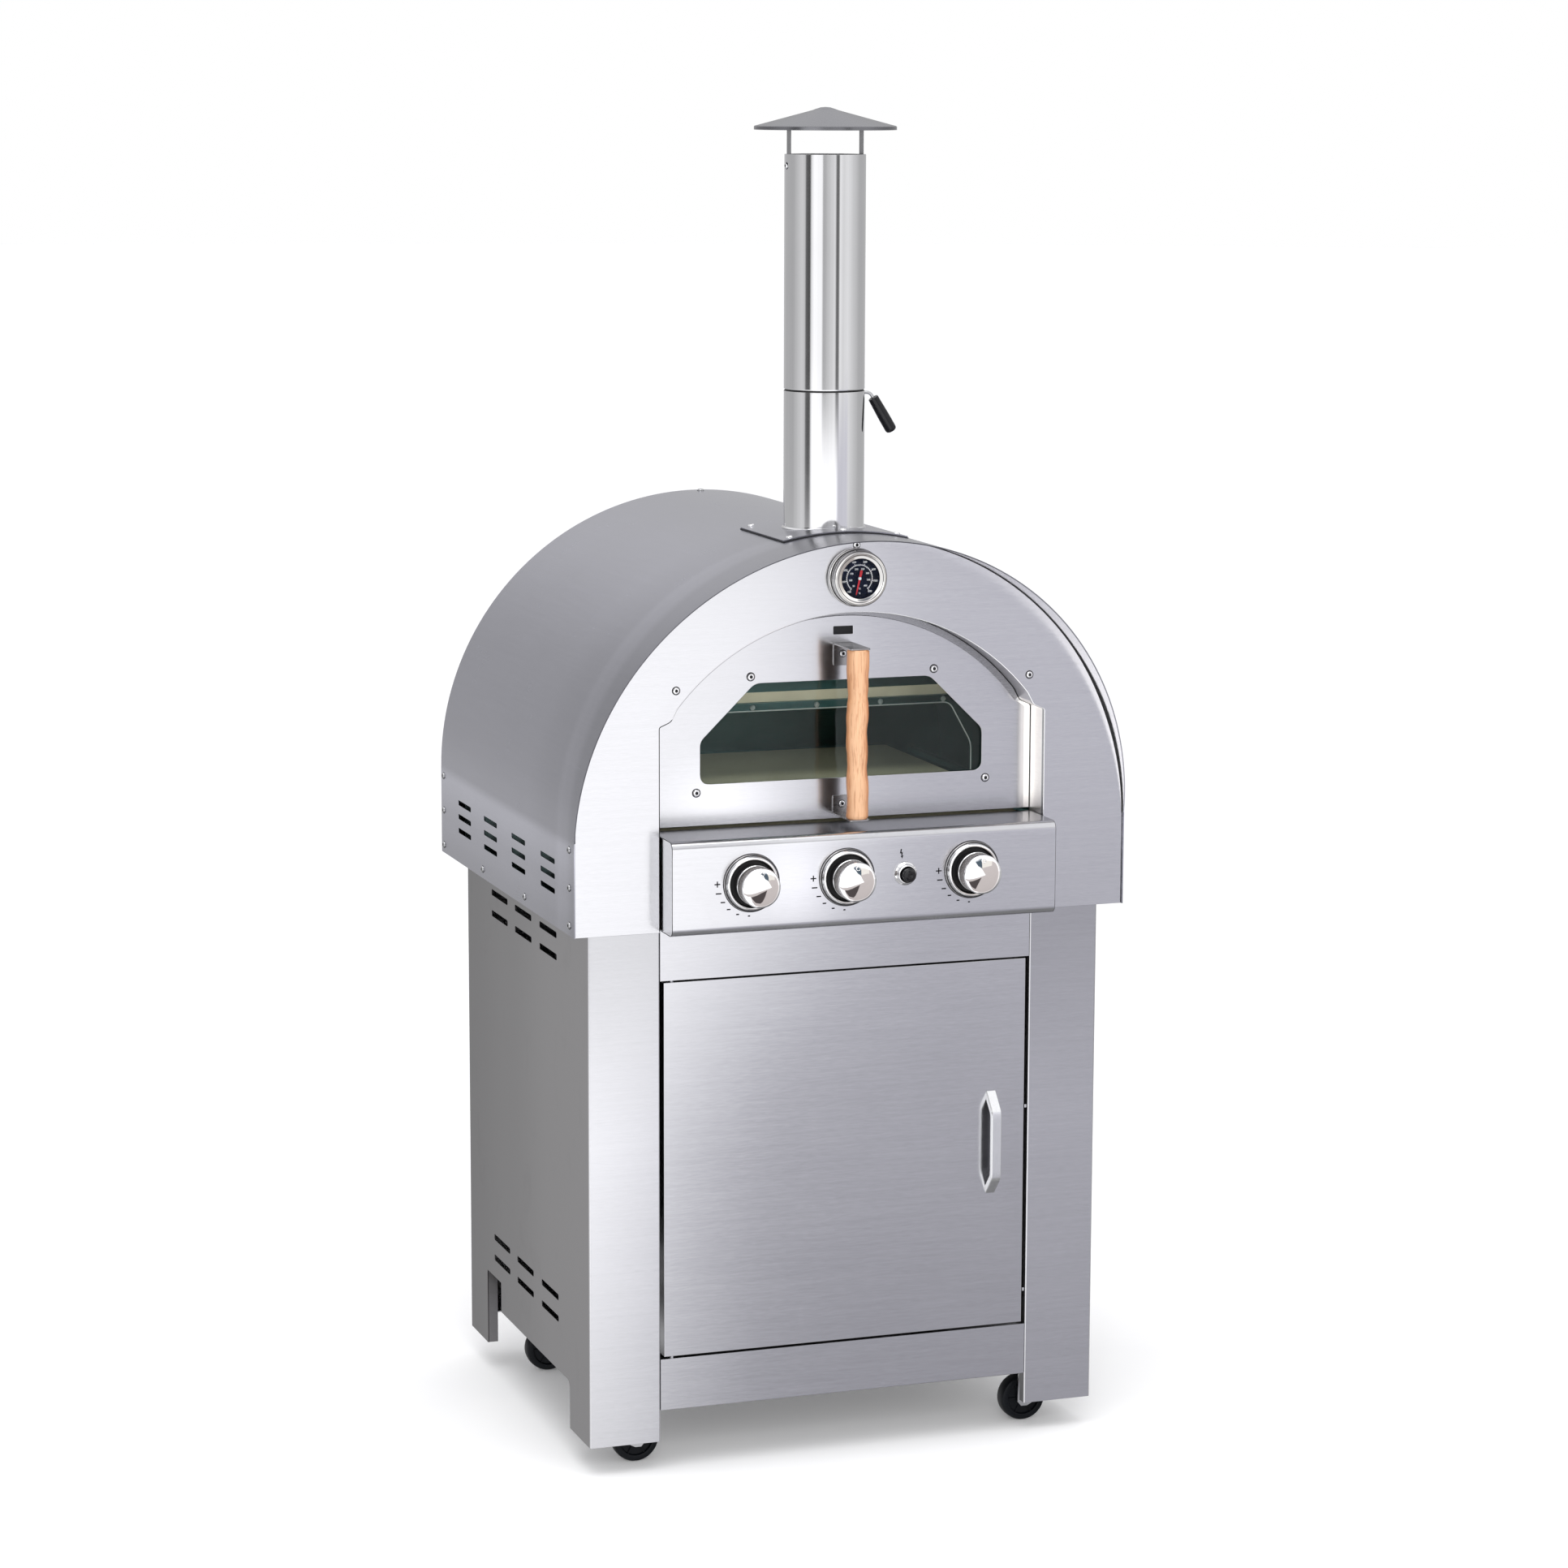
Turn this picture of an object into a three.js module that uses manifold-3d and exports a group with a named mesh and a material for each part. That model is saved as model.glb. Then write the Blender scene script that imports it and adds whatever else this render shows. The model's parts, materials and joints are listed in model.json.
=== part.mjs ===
// Free-standing gas pizza oven on a wheeled cabinet. Millimetres, +Z up, the oven's front faces -Y.
import * as THREE from "three";
import { mergeVertices } from "three/addons/utils/BufferGeometryUtils.js";
import Module from "manifold-3d";

const wasm = await Module();
wasm.setup();

// ---------- driving dimensions ----------
const FLOOR_TO_OVEN = 688; // floor to the underside of the oven body (ZB)
const ZB = FLOOR_TO_OVEN;
const SHEET = 1.5; // stainless sheet
const HOOD_R = 360, HOOD_ZC = ZB + 116, HOOD_Y0 = 2.4, HOOD_Y1 = 622;
const VISOR_Y = -3, VISOR_LEAN = 0.155; // the hood's front edge stands proud of the fascia, further and further towards its crown
const FASCIA_R = 358, FASCIA_ZC = ZB + 116, FASCIA_T = 2;
const MOUTH_R = 293.6, MOUTH_ZC = ZB + 89, MOUTH_HALF = 251.2; // arched opening of the front
const VAULT_R = 340, VAULT_ZC = ZB + 101, VAULT_Y0 = 60, VAULT_Y1 = 576;
const STONE_TOP = ZB + 128, STONE_T = 18, STONE_HALF = 245, STONE_Y0 = 72, STONE_Y1 = 540;
const CAB_HALF = 335.5, CAB_Y0 = 22.3, CAB_Y1 = 582, CAB_LEG = 91.4, FOOT_Z = 38;
const CAB_FLOOR_Z = 77;
const DOOR_Z0 = ZB - 541.5, DOOR_Z1 = ZB - 67.5, DOOR_HALF = 239, DOOR_T = 18;
const HINGE_X = -226.4, HINGE_Y = 31.3;
const PANEL_Y = -45, PANEL_HALF = 249.3, PANEL_Z0 = ZB + 2, PANEL_Z1 = ZB + 118, PANEL_BEND = 10;
const KNOB_X = [-149, -26, 137.5], KNOB_Z = ZB + 64, KNOB_R = 24.5, BEZEL_R = 35.5;
const IGNITER_X = 50;
const PIPE_R = 50, PIPE_T = 1.2, PIPE_Y = 117, SEAM_Z = ZB + 646, PIPE_TOP = ZB + 933;
const CAP_R = 87.5, CAP_RIM_Z = ZB + 967, CAP_TOP = ZB + 990;
const DAMPER_Z = ZB + 641, DAMPER_R = 45.5;
const GAUGE_Z = ZB + 425.5, GAUGE_R = 33.7;
const ODOOR_Y = 44, ODOOR_HALF = 242, ODOOR_R = 284.6, ODOOR_Z0 = ZB + 121;
const HANDLE_Y = -8, HANDLE_R = 14, HANDLE_Z0 = ZB + 129, HANDLE_Z1 = ZB + 338;
const WHEEL_R = 30, WHEEL_W = 22, TRAIL = 17, AXLE_R = 3.5;
const CASTERS = { front: [279, 76], rear: [276, 478] }; // swivel axes, half track and depth
const GAP = 0.3; // clearance kept between separate pieces
const Y_CENTRE = 268.4; // middle of the whole object's depth in the build coordinates

// ---------- helpers ----------
const M = wasm.Manifold;
function solid(geo) {
  let g = geo.clone();
  g.deleteAttribute("normal");
  g.deleteAttribute("uv");
  g = mergeVertices(g, 1e-4);
  const tri = new Uint32Array(g.index.array);
  const mesh = () => new wasm.Mesh({ numProp: 3, vertProperties: new Float32Array(g.attributes.position.array), triVerts: tri });
  let m = new M(mesh());
  if (m.volume() < 0) {
    for (let i = 0; i < tri.length; i += 3) [tri[i + 1], tri[i + 2]] = [tri[i + 2], tri[i + 1]];
    m = new M(mesh());
  }
  return m;
}
const box = (x0, x1, y0, y1, z0, z1) =>
  solid(new THREE.BoxGeometry(x1 - x0, y1 - y0, z1 - z0).translate((x0 + x1) / 2, (y0 + y1) / 2, (z0 + z1) / 2));
function rod(a, b, r, seg = 16, r2 = r) {
  const A = new THREE.Vector3(...a), B = new THREE.Vector3(...b);
  const g = new THREE.CylinderGeometry(r2, r, A.distanceTo(B), seg);
  const q = new THREE.Quaternion().setFromUnitVectors(new THREE.Vector3(0, 1, 0), B.clone().sub(A).normalize());
  g.applyQuaternion(q);
  g.translate((A.x + B.x) / 2, (A.y + B.y) / 2, (A.z + B.z) / 2);
  return solid(g);
}
const shapeOf = (pts) => {
  const s = new THREE.Shape();
  pts.forEach((p, i) => (i ? s.lineTo(p[0], p[1]) : s.moveTo(p[0], p[1])));
  s.closePath();
  return s;
};
// outline in X-Z, extruded from y0 to y1
function plateY(pts, y0, y1) {
  const g = new THREE.ExtrudeGeometry(shapeOf(pts), { depth: y1 - y0, bevelEnabled: false });
  g.rotateX(Math.PI / 2).translate(0, y1, 0);
  return solid(g);
}
// outline in X-Y, extruded from z0 to z1
const plateZ = (pts, z0, z1) =>
  solid(new THREE.ExtrudeGeometry(shapeOf(pts), { depth: z1 - z0, bevelEnabled: false }).translate(0, 0, z0));
// outline in Y-Z, extruded from x0 to x1
function plateX(pts, x0, x1) {
  const g = new THREE.ExtrudeGeometry(shapeOf(pts), { depth: x1 - x0, bevelEnabled: false });
  g.applyMatrix4(new THREE.Matrix4().makeBasis(new THREE.Vector3(0, 1, 0), new THREE.Vector3(0, 0, 1), new THREE.Vector3(1, 0, 0)));
  g.translate(x0, 0, 0);
  return solid(g);
}
// profile of [radius, height] turned about a vertical axis at (x, y)
const latheZ = (pts, x, y, seg = 32) =>
  solid(new THREE.LatheGeometry(pts.map((p) => new THREE.Vector2(p[0], p[1])), seg).rotateX(Math.PI / 2).translate(x, y, 0));
// profile of [radius, y] turned about a front-to-back axis at (x, z)
const latheY = (pts, x, z, seg = 32) =>
  solid(new THREE.LatheGeometry(pts.map((p) => new THREE.Vector2(p[0], p[1])), seg).translate(x, 0, z));
const ring = (pts) => [...pts, pts[0]];
function arc(cx, cz, r, a0, a1, n) {
  const out = [];
  for (let i = 0; i <= n; i++) {
    const a = a0 + ((a1 - a0) * i) / n;
    out.push([cx + r * Math.cos(a), cz + r * Math.sin(a)]);
  }
  return out;
}
// half-round top with straight sides: from the right foot over the arch to the left foot
const archPath = (r, zc, z0, n = 32) => [[r, z0], ...arc(0, zc, r, 0, Math.PI, n), [-r, z0]];
// the mouth's outline, grown outward by d
function mouthPath(d, z0, n = 18) {
  const r = MOUTH_R + d, h = MOUTH_HALF + d, s = 228.4 + d * 0.8;
  const a = Math.acos(s / r);
  const ear = [[h, ZB + 252 + d * 0.3], [236.3 + d * 0.6, ZB + 258.3 + d * 0.6]];
  return [[h, z0], ...ear, ...arc(0, MOUTH_ZC, r, a, Math.PI - a, n), ...ear.map(([u, v]) => [-u, v]).reverse(), [-h, z0]];
}
const UNION = (list) => list.reduce((a, b) => a.add(b));
// a path that is stepped at its own points
class Route extends THREE.Curve {
  constructor(pts) { super(); this.pts = pts; }
  getPoint(t) {
    const k = t * (this.pts.length - 1), i = Math.min(Math.floor(k + 1e-9), this.pts.length - 2);
    return this.pts[i].clone().lerp(this.pts[i + 1], k - i);
  }
  getPointAt(t) { return this.getPoint(t); }
  getTangentAt(t) {
    const n = this.pts.length - 1, i = Math.round(t * n);
    const d = new THREE.Vector3();
    if (i > 0) d.add(this.pts[i].clone().sub(this.pts[i - 1]).normalize());
    if (i < n) d.add(this.pts[i + 1].clone().sub(this.pts[i]).normalize());
    return d.normalize();
  }
  getTangent(t) { return this.getTangentAt(t); }
}
// tube of round section along points joined with rounded corners
function tube(points, r, seg = 10, corner = 14) {
  const V = points.map((p) => new THREE.Vector3(...p));
  const path = [V[0]];
  for (let i = 1; i < V.length - 1; i++) {
    const a = V[i - 1].clone().sub(V[i]), b = V[i + 1].clone().sub(V[i]);
    const c = Math.min(corner, a.length() * 0.45, b.length() * 0.45);
    const p0 = V[i].clone().addScaledVector(a.normalize(), c), p1 = V[i].clone().addScaledVector(b.normalize(), c);
    for (let k = 0; k <= 3; k++) {
      const t = k / 3;
      path.push(new THREE.Vector3().addScaledVector(p0, (1 - t) ** 2).addScaledVector(V[i], 2 * t * (1 - t)).addScaledVector(p1, t * t));
    }
  }
  path.push(V[V.length - 1]);
  const curve = new Route(path);
  const circle = [];
  for (let i = 0; i < seg; i++) circle.push([r * Math.cos((2 * Math.PI * i) / seg), r * Math.sin((2 * Math.PI * i) / seg)]);
  return solid(new THREE.ExtrudeGeometry(shapeOf(circle), { steps: path.length - 1, extrudePath: curve, bevelEnabled: false }));
}
// level slot with round ends, cut through a side wall at x from x0 to x1
function slotX(x0, x1, yc, zc, len, h) {
  const r = h / 2, a = len / 2 - r;
  return plateX([...arc(yc + a, zc, r, -Math.PI / 2, Math.PI / 2, 2), ...arc(yc - a, zc, r, Math.PI / 2, (3 * Math.PI) / 2, 2)], x0, x1);
}

const root = new THREE.Group();
root.name = "pizza_oven";
const LOOK = {
  steel: [0xb4b6bc, 0.34, 1.0],
  steelDark: [0x85858a, 0.42, 1.0],
  polished: [0xd6d8dc, 0.08, 1.0],
  zinc: [0xa2a4a6, 0.45, 0.9],
  inside: [0x6c6a62, 0.55, 0.9],
  cream: [0xc9c6a8, 0.5, 0.6],
  stone: [0x8b8666, 0.9, 0.0],
  brass: [0xb08d4c, 0.35, 1.0],
  black: [0x141416, 0.55, 0.0],
  gloss: [0x0c0c0e, 0.12, 0.0],
  wood: [0xd2a06a, 0.6, 0.0],
  glass: [0x1f3532, 0.05, 0.0],
  clear: [0xe8eef0, 0.03, 0.0],
  dial: [0x18191b, 0.4, 0.0],
  red: [0xc2242a, 0.45, 0.0],
  alu: [0xcdd0d2, 0.3, 1.0],
};
function add(name, m, look) {
  const mesh = m.getMesh();
  const n = mesh.numProp, pos = new Float32Array(mesh.numVert * 3);
  for (let i = 0; i < mesh.numVert; i++) {
    pos[3 * i] = mesh.vertProperties[n * i];
    pos[3 * i + 1] = mesh.vertProperties[n * i + 1] - Y_CENTRE;
    pos[3 * i + 2] = mesh.vertProperties[n * i + 2];
  }
  let g = new THREE.BufferGeometry();
  g.setAttribute("position", new THREE.BufferAttribute(pos, 3));
  g.setIndex(new THREE.BufferAttribute(new Uint32Array(mesh.triVerts), 1));
  const [color, roughness, metalness] = LOOK[look];
  const material = new THREE.MeshStandardMaterial({ color, roughness, metalness, flatShading: true });
  if (look === "glass" || look === "clear") { material.transparent = true; material.opacity = look === "glass" ? 0.6 : 0.25; }
  const o = new THREE.Mesh(g, material);
  o.name = name;
  root.add(o);
}

// ---------- outer hood: half-round sheet with straight skirts, inward bottom flanges and side vents ----------
{
  const o = HOOD_R, i = HOOD_R - SHEET;
  const outer = archPath(o, HOOD_ZC, ZB);
  const inner = archPath(i, HOOD_ZC, ZB + SHEET).reverse();
  let hood = plateY([[346, ZB], ...outer, [-346, ZB], [-346, ZB + SHEET], ...inner, [346, ZB + SHEET]], HOOD_Y0, HOOD_Y1);
  hood = hood.add(plateY([...archPath(o, HOOD_ZC, ZB), ...archPath(i, HOOD_ZC, ZB).reverse()], -70, 20));
  hood = hood.subtract(plateX([[-90, ZB - 10], [VISOR_Y, ZB - 10], [VISOR_Y, HOOD_ZC], [VISOR_Y - VISOR_LEAN * 400, HOOD_ZC + 400], [-90, HOOD_ZC + 400]], -400, 400));
  for (const s of [-1, 1])
    for (const yc of [503, 376, 244, 111.6])
      for (const z of [80.2, 61.7, 43.2])
        hood = hood.subtract(slotX(s > 0 ? 350 : -370, s > 0 ? 370 : -350, yc, ZB + z, 63, 6.6));
  hood = hood.subtract(rod([0, PIPE_Y, ZB + 400], [0, PIPE_Y, ZB + 500], PIPE_R + 0.6, 24));
  add("hood_shell", hood, "steel");
}

// ---------- front fascia with its arched mouth and the tunnel flange behind it ----------
{
  const plate = plateY([...archPath(FASCIA_R, FASCIA_ZC, ZB), ...mouthPath(0, ZB).reverse()], 0, FASCIA_T);
  const rim = plateY([...mouthPath(SHEET, ZB + 3.8), ...mouthPath(0, ZB + 3.8).reverse()], 0.5, 47.5);
  // the stop flange at the back of the tunnel: the door's face rests against it
  const stop = plateY([...mouthPath(0.2, ODOOR_Z0), ...mouthPath(-16, ODOOR_Z0).reverse()], 46, 47.5);
  const f = plate.add(rim).add(stop).subtract(rod([0, -1, GAUGE_Z], [0, 5, GAUGE_Z], 4.5, 16));
  add("front_fascia", f, "steel");
}

// ---------- rear panel of the oven body ----------
add("rear_panel", plateY(archPath(FASCIA_R, FASCIA_ZC, ZB), HOOD_Y1 + GAP, HOOD_Y1 + GAP + SHEET), "steel");

// ---------- base tray between the cabinet and the oven ----------
// with a round hole under the gas inlet
add("oven_base_tray", box(-356, 356, 4, 620, ZB + 1.8, ZB + 3.3).subtract(rod([205, 42, ZB - 2], [205, 42, ZB + 8], 14, 20)), "steelDark");

// ---------- inner vault: arched liner with a front ring that the door closes against ----------
{
  const o = VAULT_R, i = VAULT_R - SHEET, z0 = ZB + 3.6;
  const skin = plateY([[322, z0], ...archPath(o, VAULT_ZC, z0), [-322, z0], [-322, z0 + SHEET], ...archPath(i, VAULT_ZC, z0 + SHEET).reverse(), [322, z0 + SHEET]], VAULT_Y0, VAULT_Y1);
  const a = Math.acos(236 / 264);
  const mouth = [[256, z0], [256, ZB + 116], [236, ZB + 116], ...arc(0, VAULT_ZC, 264, a, Math.PI - a, 16), [-236, ZB + 116], [-256, ZB + 116], [-256, z0]];
  const front = plateY([...archPath(o - 0.3, VAULT_ZC, z0), ...mouth.reverse()], VAULT_Y0, VAULT_Y0 + SHEET);
  const v = skin.add(front)
    .subtract(rod([0, PIPE_Y, ZB + 420], [0, PIPE_Y, ZB + 460], PIPE_R + 0.6, 24))
    .subtract(rod([0, VAULT_Y0 - 2, GAUGE_Z], [0, VAULT_Y0 + 4, GAUGE_Z], 4, 12));
  add("inner_vault", v, "inside");
}
add("liner_back_wall", plateY(archPath(VAULT_R - 0.4, VAULT_ZC, ZB + 3.6), VAULT_Y1 + GAP, VAULT_Y1 + GAP + SHEET), "inside");

// ---------- smoke baffle: a portal plate that keeps the heat in the rear of the vault ----------
{
  const r = 336.8, a = Math.asin((ZB + 135 - VAULT_ZC) / r);
  const inner = [[257, ZB + 135], [257, ZB + 169], [255, ZB + 174], [229, ZB + 221], [223, ZB + 226], [-223, ZB + 226], [-229, ZB + 221], [-255, ZB + 174], [-257, ZB + 169], [-257, ZB + 135]];
  let b = plateY([...arc(0, VAULT_ZC, r, a, Math.PI - a, 24), ...inner.reverse()], 262, 263.5);
  b = b.add(box(-238, 238, 250, 262.2, ZB + 236, ZB + 237.5));
  add("smoke_baffle", b, "cream");
}

// ---------- pizza stone and its support ----------
add("pizza_stone", box(-STONE_HALF, STONE_HALF, STONE_Y0, STONE_Y1, STONE_TOP - STONE_T, STONE_TOP), "stone");
{
  const top = STONE_TOP - STONE_T - GAP, z0 = ZB + 3.6;
  let s = plateY([[202, z0], [202, top], [-202, top], [-202, z0], [-186, z0], [-186, z0 + SHEET], [-200.5, z0 + SHEET], [-200.5, top - SHEET], [200.5, top - SHEET], [200.5, z0 + SHEET], [186, z0 + SHEET], [186, z0]], 105, 530);
  for (const x of [-120, 0, 120]) for (const y of [200, 320, 440]) s = s.subtract(box(x - 35, x + 35, y - 40, y + 40, top - 4, top + 2));
  add("stone_support", s, "zinc");
}

// ---------- burners: each runs from its air mixer behind a valve to its flame tube ----------
const BZ = ZB + 84;
{
  const bore = (x) => rod([x, 20, BZ], [x, 66, BZ], 7.2, 12);
  const l = tube([[KNOB_X[0], 28, BZ], [KNOB_X[0], 78, BZ], [-275, 96, BZ], [-275, 140, ZB + 118], [-275, 520, ZB + 118]], 9.5, 10, 16);
  add("burner_left", l.subtract(bore(KNOB_X[0])), "inside");
  const r = tube([[KNOB_X[2], 28, BZ], [KNOB_X[2], 78, BZ], [275, 96, BZ], [275, 140, ZB + 118], [275, 520, ZB + 118]], 9.5, 10, 16);
  add("burner_right", r.subtract(bore(KNOB_X[2])), "inside");
  const b = tube([[KNOB_X[1], 28, BZ], [KNOB_X[1], 535, BZ], [KNOB_X[1], 558, ZB + 118]], 9.5, 10, 14)
    .add(rod([-215, 558, ZB + 118], [215, 558, ZB + 118], 9.5, 10));
  add("burner_rear", b.subtract(bore(KNOB_X[1])), "inside");
}

// ---------- gas manifold with its inlet fitting under the right end ----------
{
  let g = rod([-172, 10, ZB + 60], [212, 10, ZB + 60], 9.5, 14);
  g = g.add(rod([205, 10, ZB + 60], [205, 42, ZB + 60], 7.5, 12)).add(rod([205, 42, ZB + 67.5], [205, 42, ZB + 16], 7.5, 12));
  g = g.add(rod([205, 42, ZB + 34], [205, 42, ZB + 20], 11, 6));
  add("gas_manifold", g, "brass");
}

// ---------- valves, stems, bezels and knobs ----------
["left", "centre", "right"].forEach((side, k) => {
  const x = KNOB_X[k];
  let v = box(x - 12, x + 12, -26, -4, ZB + 48, ZB + 92);
  v = v.add(rod([x, -40, KNOB_Z], [x, -24, KNOB_Z], 9, 16));
  v = v.add(rod([x, -5, ZB + 60], [x, 0.2, ZB + 60], 7, 12));
  v = v.add(rod([x, -5, BZ], [x, 34, BZ], 4.6, 10));
  v = v.subtract(rod([x, -42, KNOB_Z], [x, -14, KNOB_Z], 4.4, 16));
  add("gas_valve_" + side, v, "brass");
  add("valve_stem_" + side, rod([x, -73, KNOB_Z], [x, -15, KNOB_Z], 4, 16).subtract(box(x - 5, x + 5, -74, -50, KNOB_Z + 2.6, KNOB_Z + 6)), "brass");
  add("knob_bezel_" + side, latheY(ring([[13, -45.3], [BEZEL_R, -45.3], [BEZEL_R, -48.5], [32.5, -53.4], [28, -51.5], [28, -46.8], [13, -46.8]]), x, KNOB_Z, 24), "polished");
  // domed front with a round pointer dimple at the top
  let kn = latheY([[0, -50.8], [23.2, -50.8], [KNOB_R, -52.2], [KNOB_R, -81], [23.6, -83], [18, -85.2], [9, -86.6], [0, -87]], x, KNOB_Z, 28);
  kn = kn.subtract(rod([x, -50, KNOB_Z], [x, -77, KNOB_Z], 4.4, 16)).subtract(rod([x, -90, KNOB_Z + 17], [x, -84.6, KNOB_Z + 17], 2.4, 10));
  kn = kn.add(box(x - 3.2, x + 3.2, -77.3, -57.5, KNOB_Z + 3, KNOB_Z + 5));
  add("knob_" + side, kn, "polished");
});

// ---------- push igniter ----------
{
  const h = latheY(ring([[8.6, -52.8], [12.2, -52.8], [14.6, -50], [14.6, -45.3], [10, -45.3], [10, -14], [3, -14], [3, -18], [8.6, -18]]), IGNITER_X, KNOB_Z, 18);
  add("igniter_housing", h, "polished");
  add("igniter_button", latheY([[0, -24], [8.2, -24], [8.2, -61.5], [6.6, -63.6], [0, -64.2]], IGNITER_X, KNOB_Z, 18), "gloss");
}

// ---------- control panel: folded box, open at the back ----------
{
  const b = PANEL_BEND, y = PANEL_Y;
  const fold = (o, yEnd, zLowEnd) => {
    const r = b - o;
    return [
      [yEnd, PANEL_Z1 - o], ...arc(y + b, PANEL_Z1 - b, r, Math.PI / 2, Math.PI, 5),
      ...arc(y + b, PANEL_Z0 + b, r, Math.PI, (3 * Math.PI) / 2, 5), [zLowEnd, PANEL_Z0 + o],
    ];
  };
  let p = plateX(fold(0, 40, 40), -PANEL_HALF, PANEL_HALF).subtract(plateX(fold(SHEET, 60, 60), -PANEL_HALF + SHEET, PANEL_HALF - SHEET));
  p = p.subtract(box(-300, 300, 1.2, 70, ZB - 5, PANEL_Z1 - 6)).subtract(box(-300, -PANEL_HALF + SHEET + 0.01, 1.2, 70, ZB, ZB + 130)).subtract(box(PANEL_HALF - SHEET - 0.01, 300, 1.2, 70, ZB, ZB + 130));
  for (const x of KNOB_X) p = p.subtract(rod([x, -60, KNOB_Z], [x, -40, KNOB_Z], 12, 20));
  p = p.subtract(rod([IGNITER_X, -60, KNOB_Z], [IGNITER_X, -40, KNOB_Z], 10.5, 20));
  add("control_panel", p, "steel");
}

// ---------- oven door: arched pan with a window, lifted out by its handle ----------
const doorPath = (d, dz = d) => {
  const r = ODOOR_R - d, h = ODOOR_HALF - d, s = 228 - d * 0.8, a = Math.acos(s / r);
  return [[h, ODOOR_Z0 + dz], [h, ZB + 250 - d * 0.8], ...arc(0, MOUTH_ZC, r, a, Math.PI - a, 16), [-h, ZB + 250 - d * 0.8], [-h, ODOOR_Z0 + dz]];
};
const windowPath = (d) => {
  const zt = ZB + 294 + d, zs = ZB + 225 + d * 0.41, zb = ZB + 172 - d, c = 8, w = 185 + d, t = 114.5 + d * 0.41;
  return [[t, zt], [-t, zt], [-w, zs], ...arc(-w + c, zb + c, c, Math.PI, 1.5 * Math.PI, 3), ...arc(w - c, zb + c, c, 1.5 * Math.PI, 2 * Math.PI, 3), [w, zs]];
};
{
  // flat face, and behind it a shallow pan wall that passes inside the stop flange
  let d = plateY(doorPath(0), ODOOR_Y, ODOOR_Y + SHEET).add(plateY(doorPath(9, 0.5), ODOOR_Y + 0.5, ODOOR_Y + 13)).subtract(plateY(doorPath(9 + SHEET, 0.5 + SHEET), ODOOR_Y + SHEET, ODOOR_Y + 20));
  d = d.subtract(plateY(windowPath(0), ODOOR_Y - 3, ODOOR_Y + 5)).subtract(box(-12.7, 12.7, ODOOR_Y - 3, ODOOR_Y + 5, ZB + 350.5, ZB + 360.3));
  add("door_panel", d, "steel");
  add("door_glass", plateY(windowPath(11), ODOOR_Y + 1.8, ODOOR_Y + 5.8), "glass");
  add("door_glass_retainer", plateY(windowPath(19), ODOOR_Y + 6.1, ODOOR_Y + 7.6).subtract(plateY(windowPath(2), ODOOR_Y + 4, ODOOR_Y + 9)), "zinc");
  const grip = [[0, HANDLE_Z0], [12.5, HANDLE_Z0], [13.6, HANDLE_Z0 + 3], [13.2, HANDLE_Z0 + 30], [14, HANDLE_Z0 + 48], [12.6, HANDLE_Z0 + 70], [13.6, HANDLE_Z0 + 92], [12.7, HANDLE_Z0 + 112], [13.8, HANDLE_Z0 + 134], [12.7, HANDLE_Z0 + 152], [13.9, HANDLE_Z0 + 176], [HANDLE_R, HANDLE_Z1 - 4], [12.8, HANDLE_Z1], [0, HANDLE_Z1]];
  add("door_handle_grip", latheZ(grip, 0, HANDLE_Y, 12), "wood");
  add("handle_bracket_upper", box(-13, 13, ODOOR_Y - 2, ODOOR_Y - GAP, ZB + 312, HANDLE_Z1 + 2).add(box(-13, 13, -19, ODOOR_Y - GAP, HANDLE_Z1 + GAP, HANDLE_Z1 + 2)), "steel");
  add("handle_bracket_lower", box(-13, 13, ODOOR_Y - 2, ODOOR_Y - GAP, HANDLE_Z0 - 2, ZB + 150).add(box(-13, 13, -19, ODOOR_Y - GAP, HANDLE_Z0 - 2, HANDLE_Z0 - GAP)), "steel");
}

// ---------- thermometer in the fascia, its probe reaches into the vault ----------
{
  const c = latheY([[0, -11], [29.5, -11], [29.5, -16.8], [31.5, -18.6], [GAUGE_R, -17], [GAUGE_R, -12], [30.6, -11.5], [30.6, -4.5], [35.8, -3.2], [35.8, -0.3], [2.8, -0.3], [2.8, 104], [0, 106]], 0, GAUGE_Z, 24);
  add("thermometer_case", c, "polished");
  add("thermometer_dial", latheY([[0, -12.4], [29, -12.4], [29, -11.3], [0, -11.3]], 0, GAUGE_Z, 24), "dial");
  const nd = plateY([[-1.6, GAUGE_Z], [-1.0, GAUGE_Z - 22], [1.0, GAUGE_Z - 22], [1.6, GAUGE_Z], [1.9, GAUGE_Z + 11], [-1.9, GAUGE_Z + 11]], -14, -13.2)
    .add(rod([0, -14.6, GAUGE_Z], [0, -12.7, GAUGE_Z], 3, 12));
  add("thermometer_needle", nd.translate(0, 0, -GAUGE_Z).rotate(0, 13, 0).translate(0, 0, GAUGE_Z), "red");
  add("thermometer_lens", latheY([[0, -16.4], [29.1, -16.4], [29.1, -15.2], [0, -15.2]], 0, GAUGE_Z, 24), "clear");
}

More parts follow.
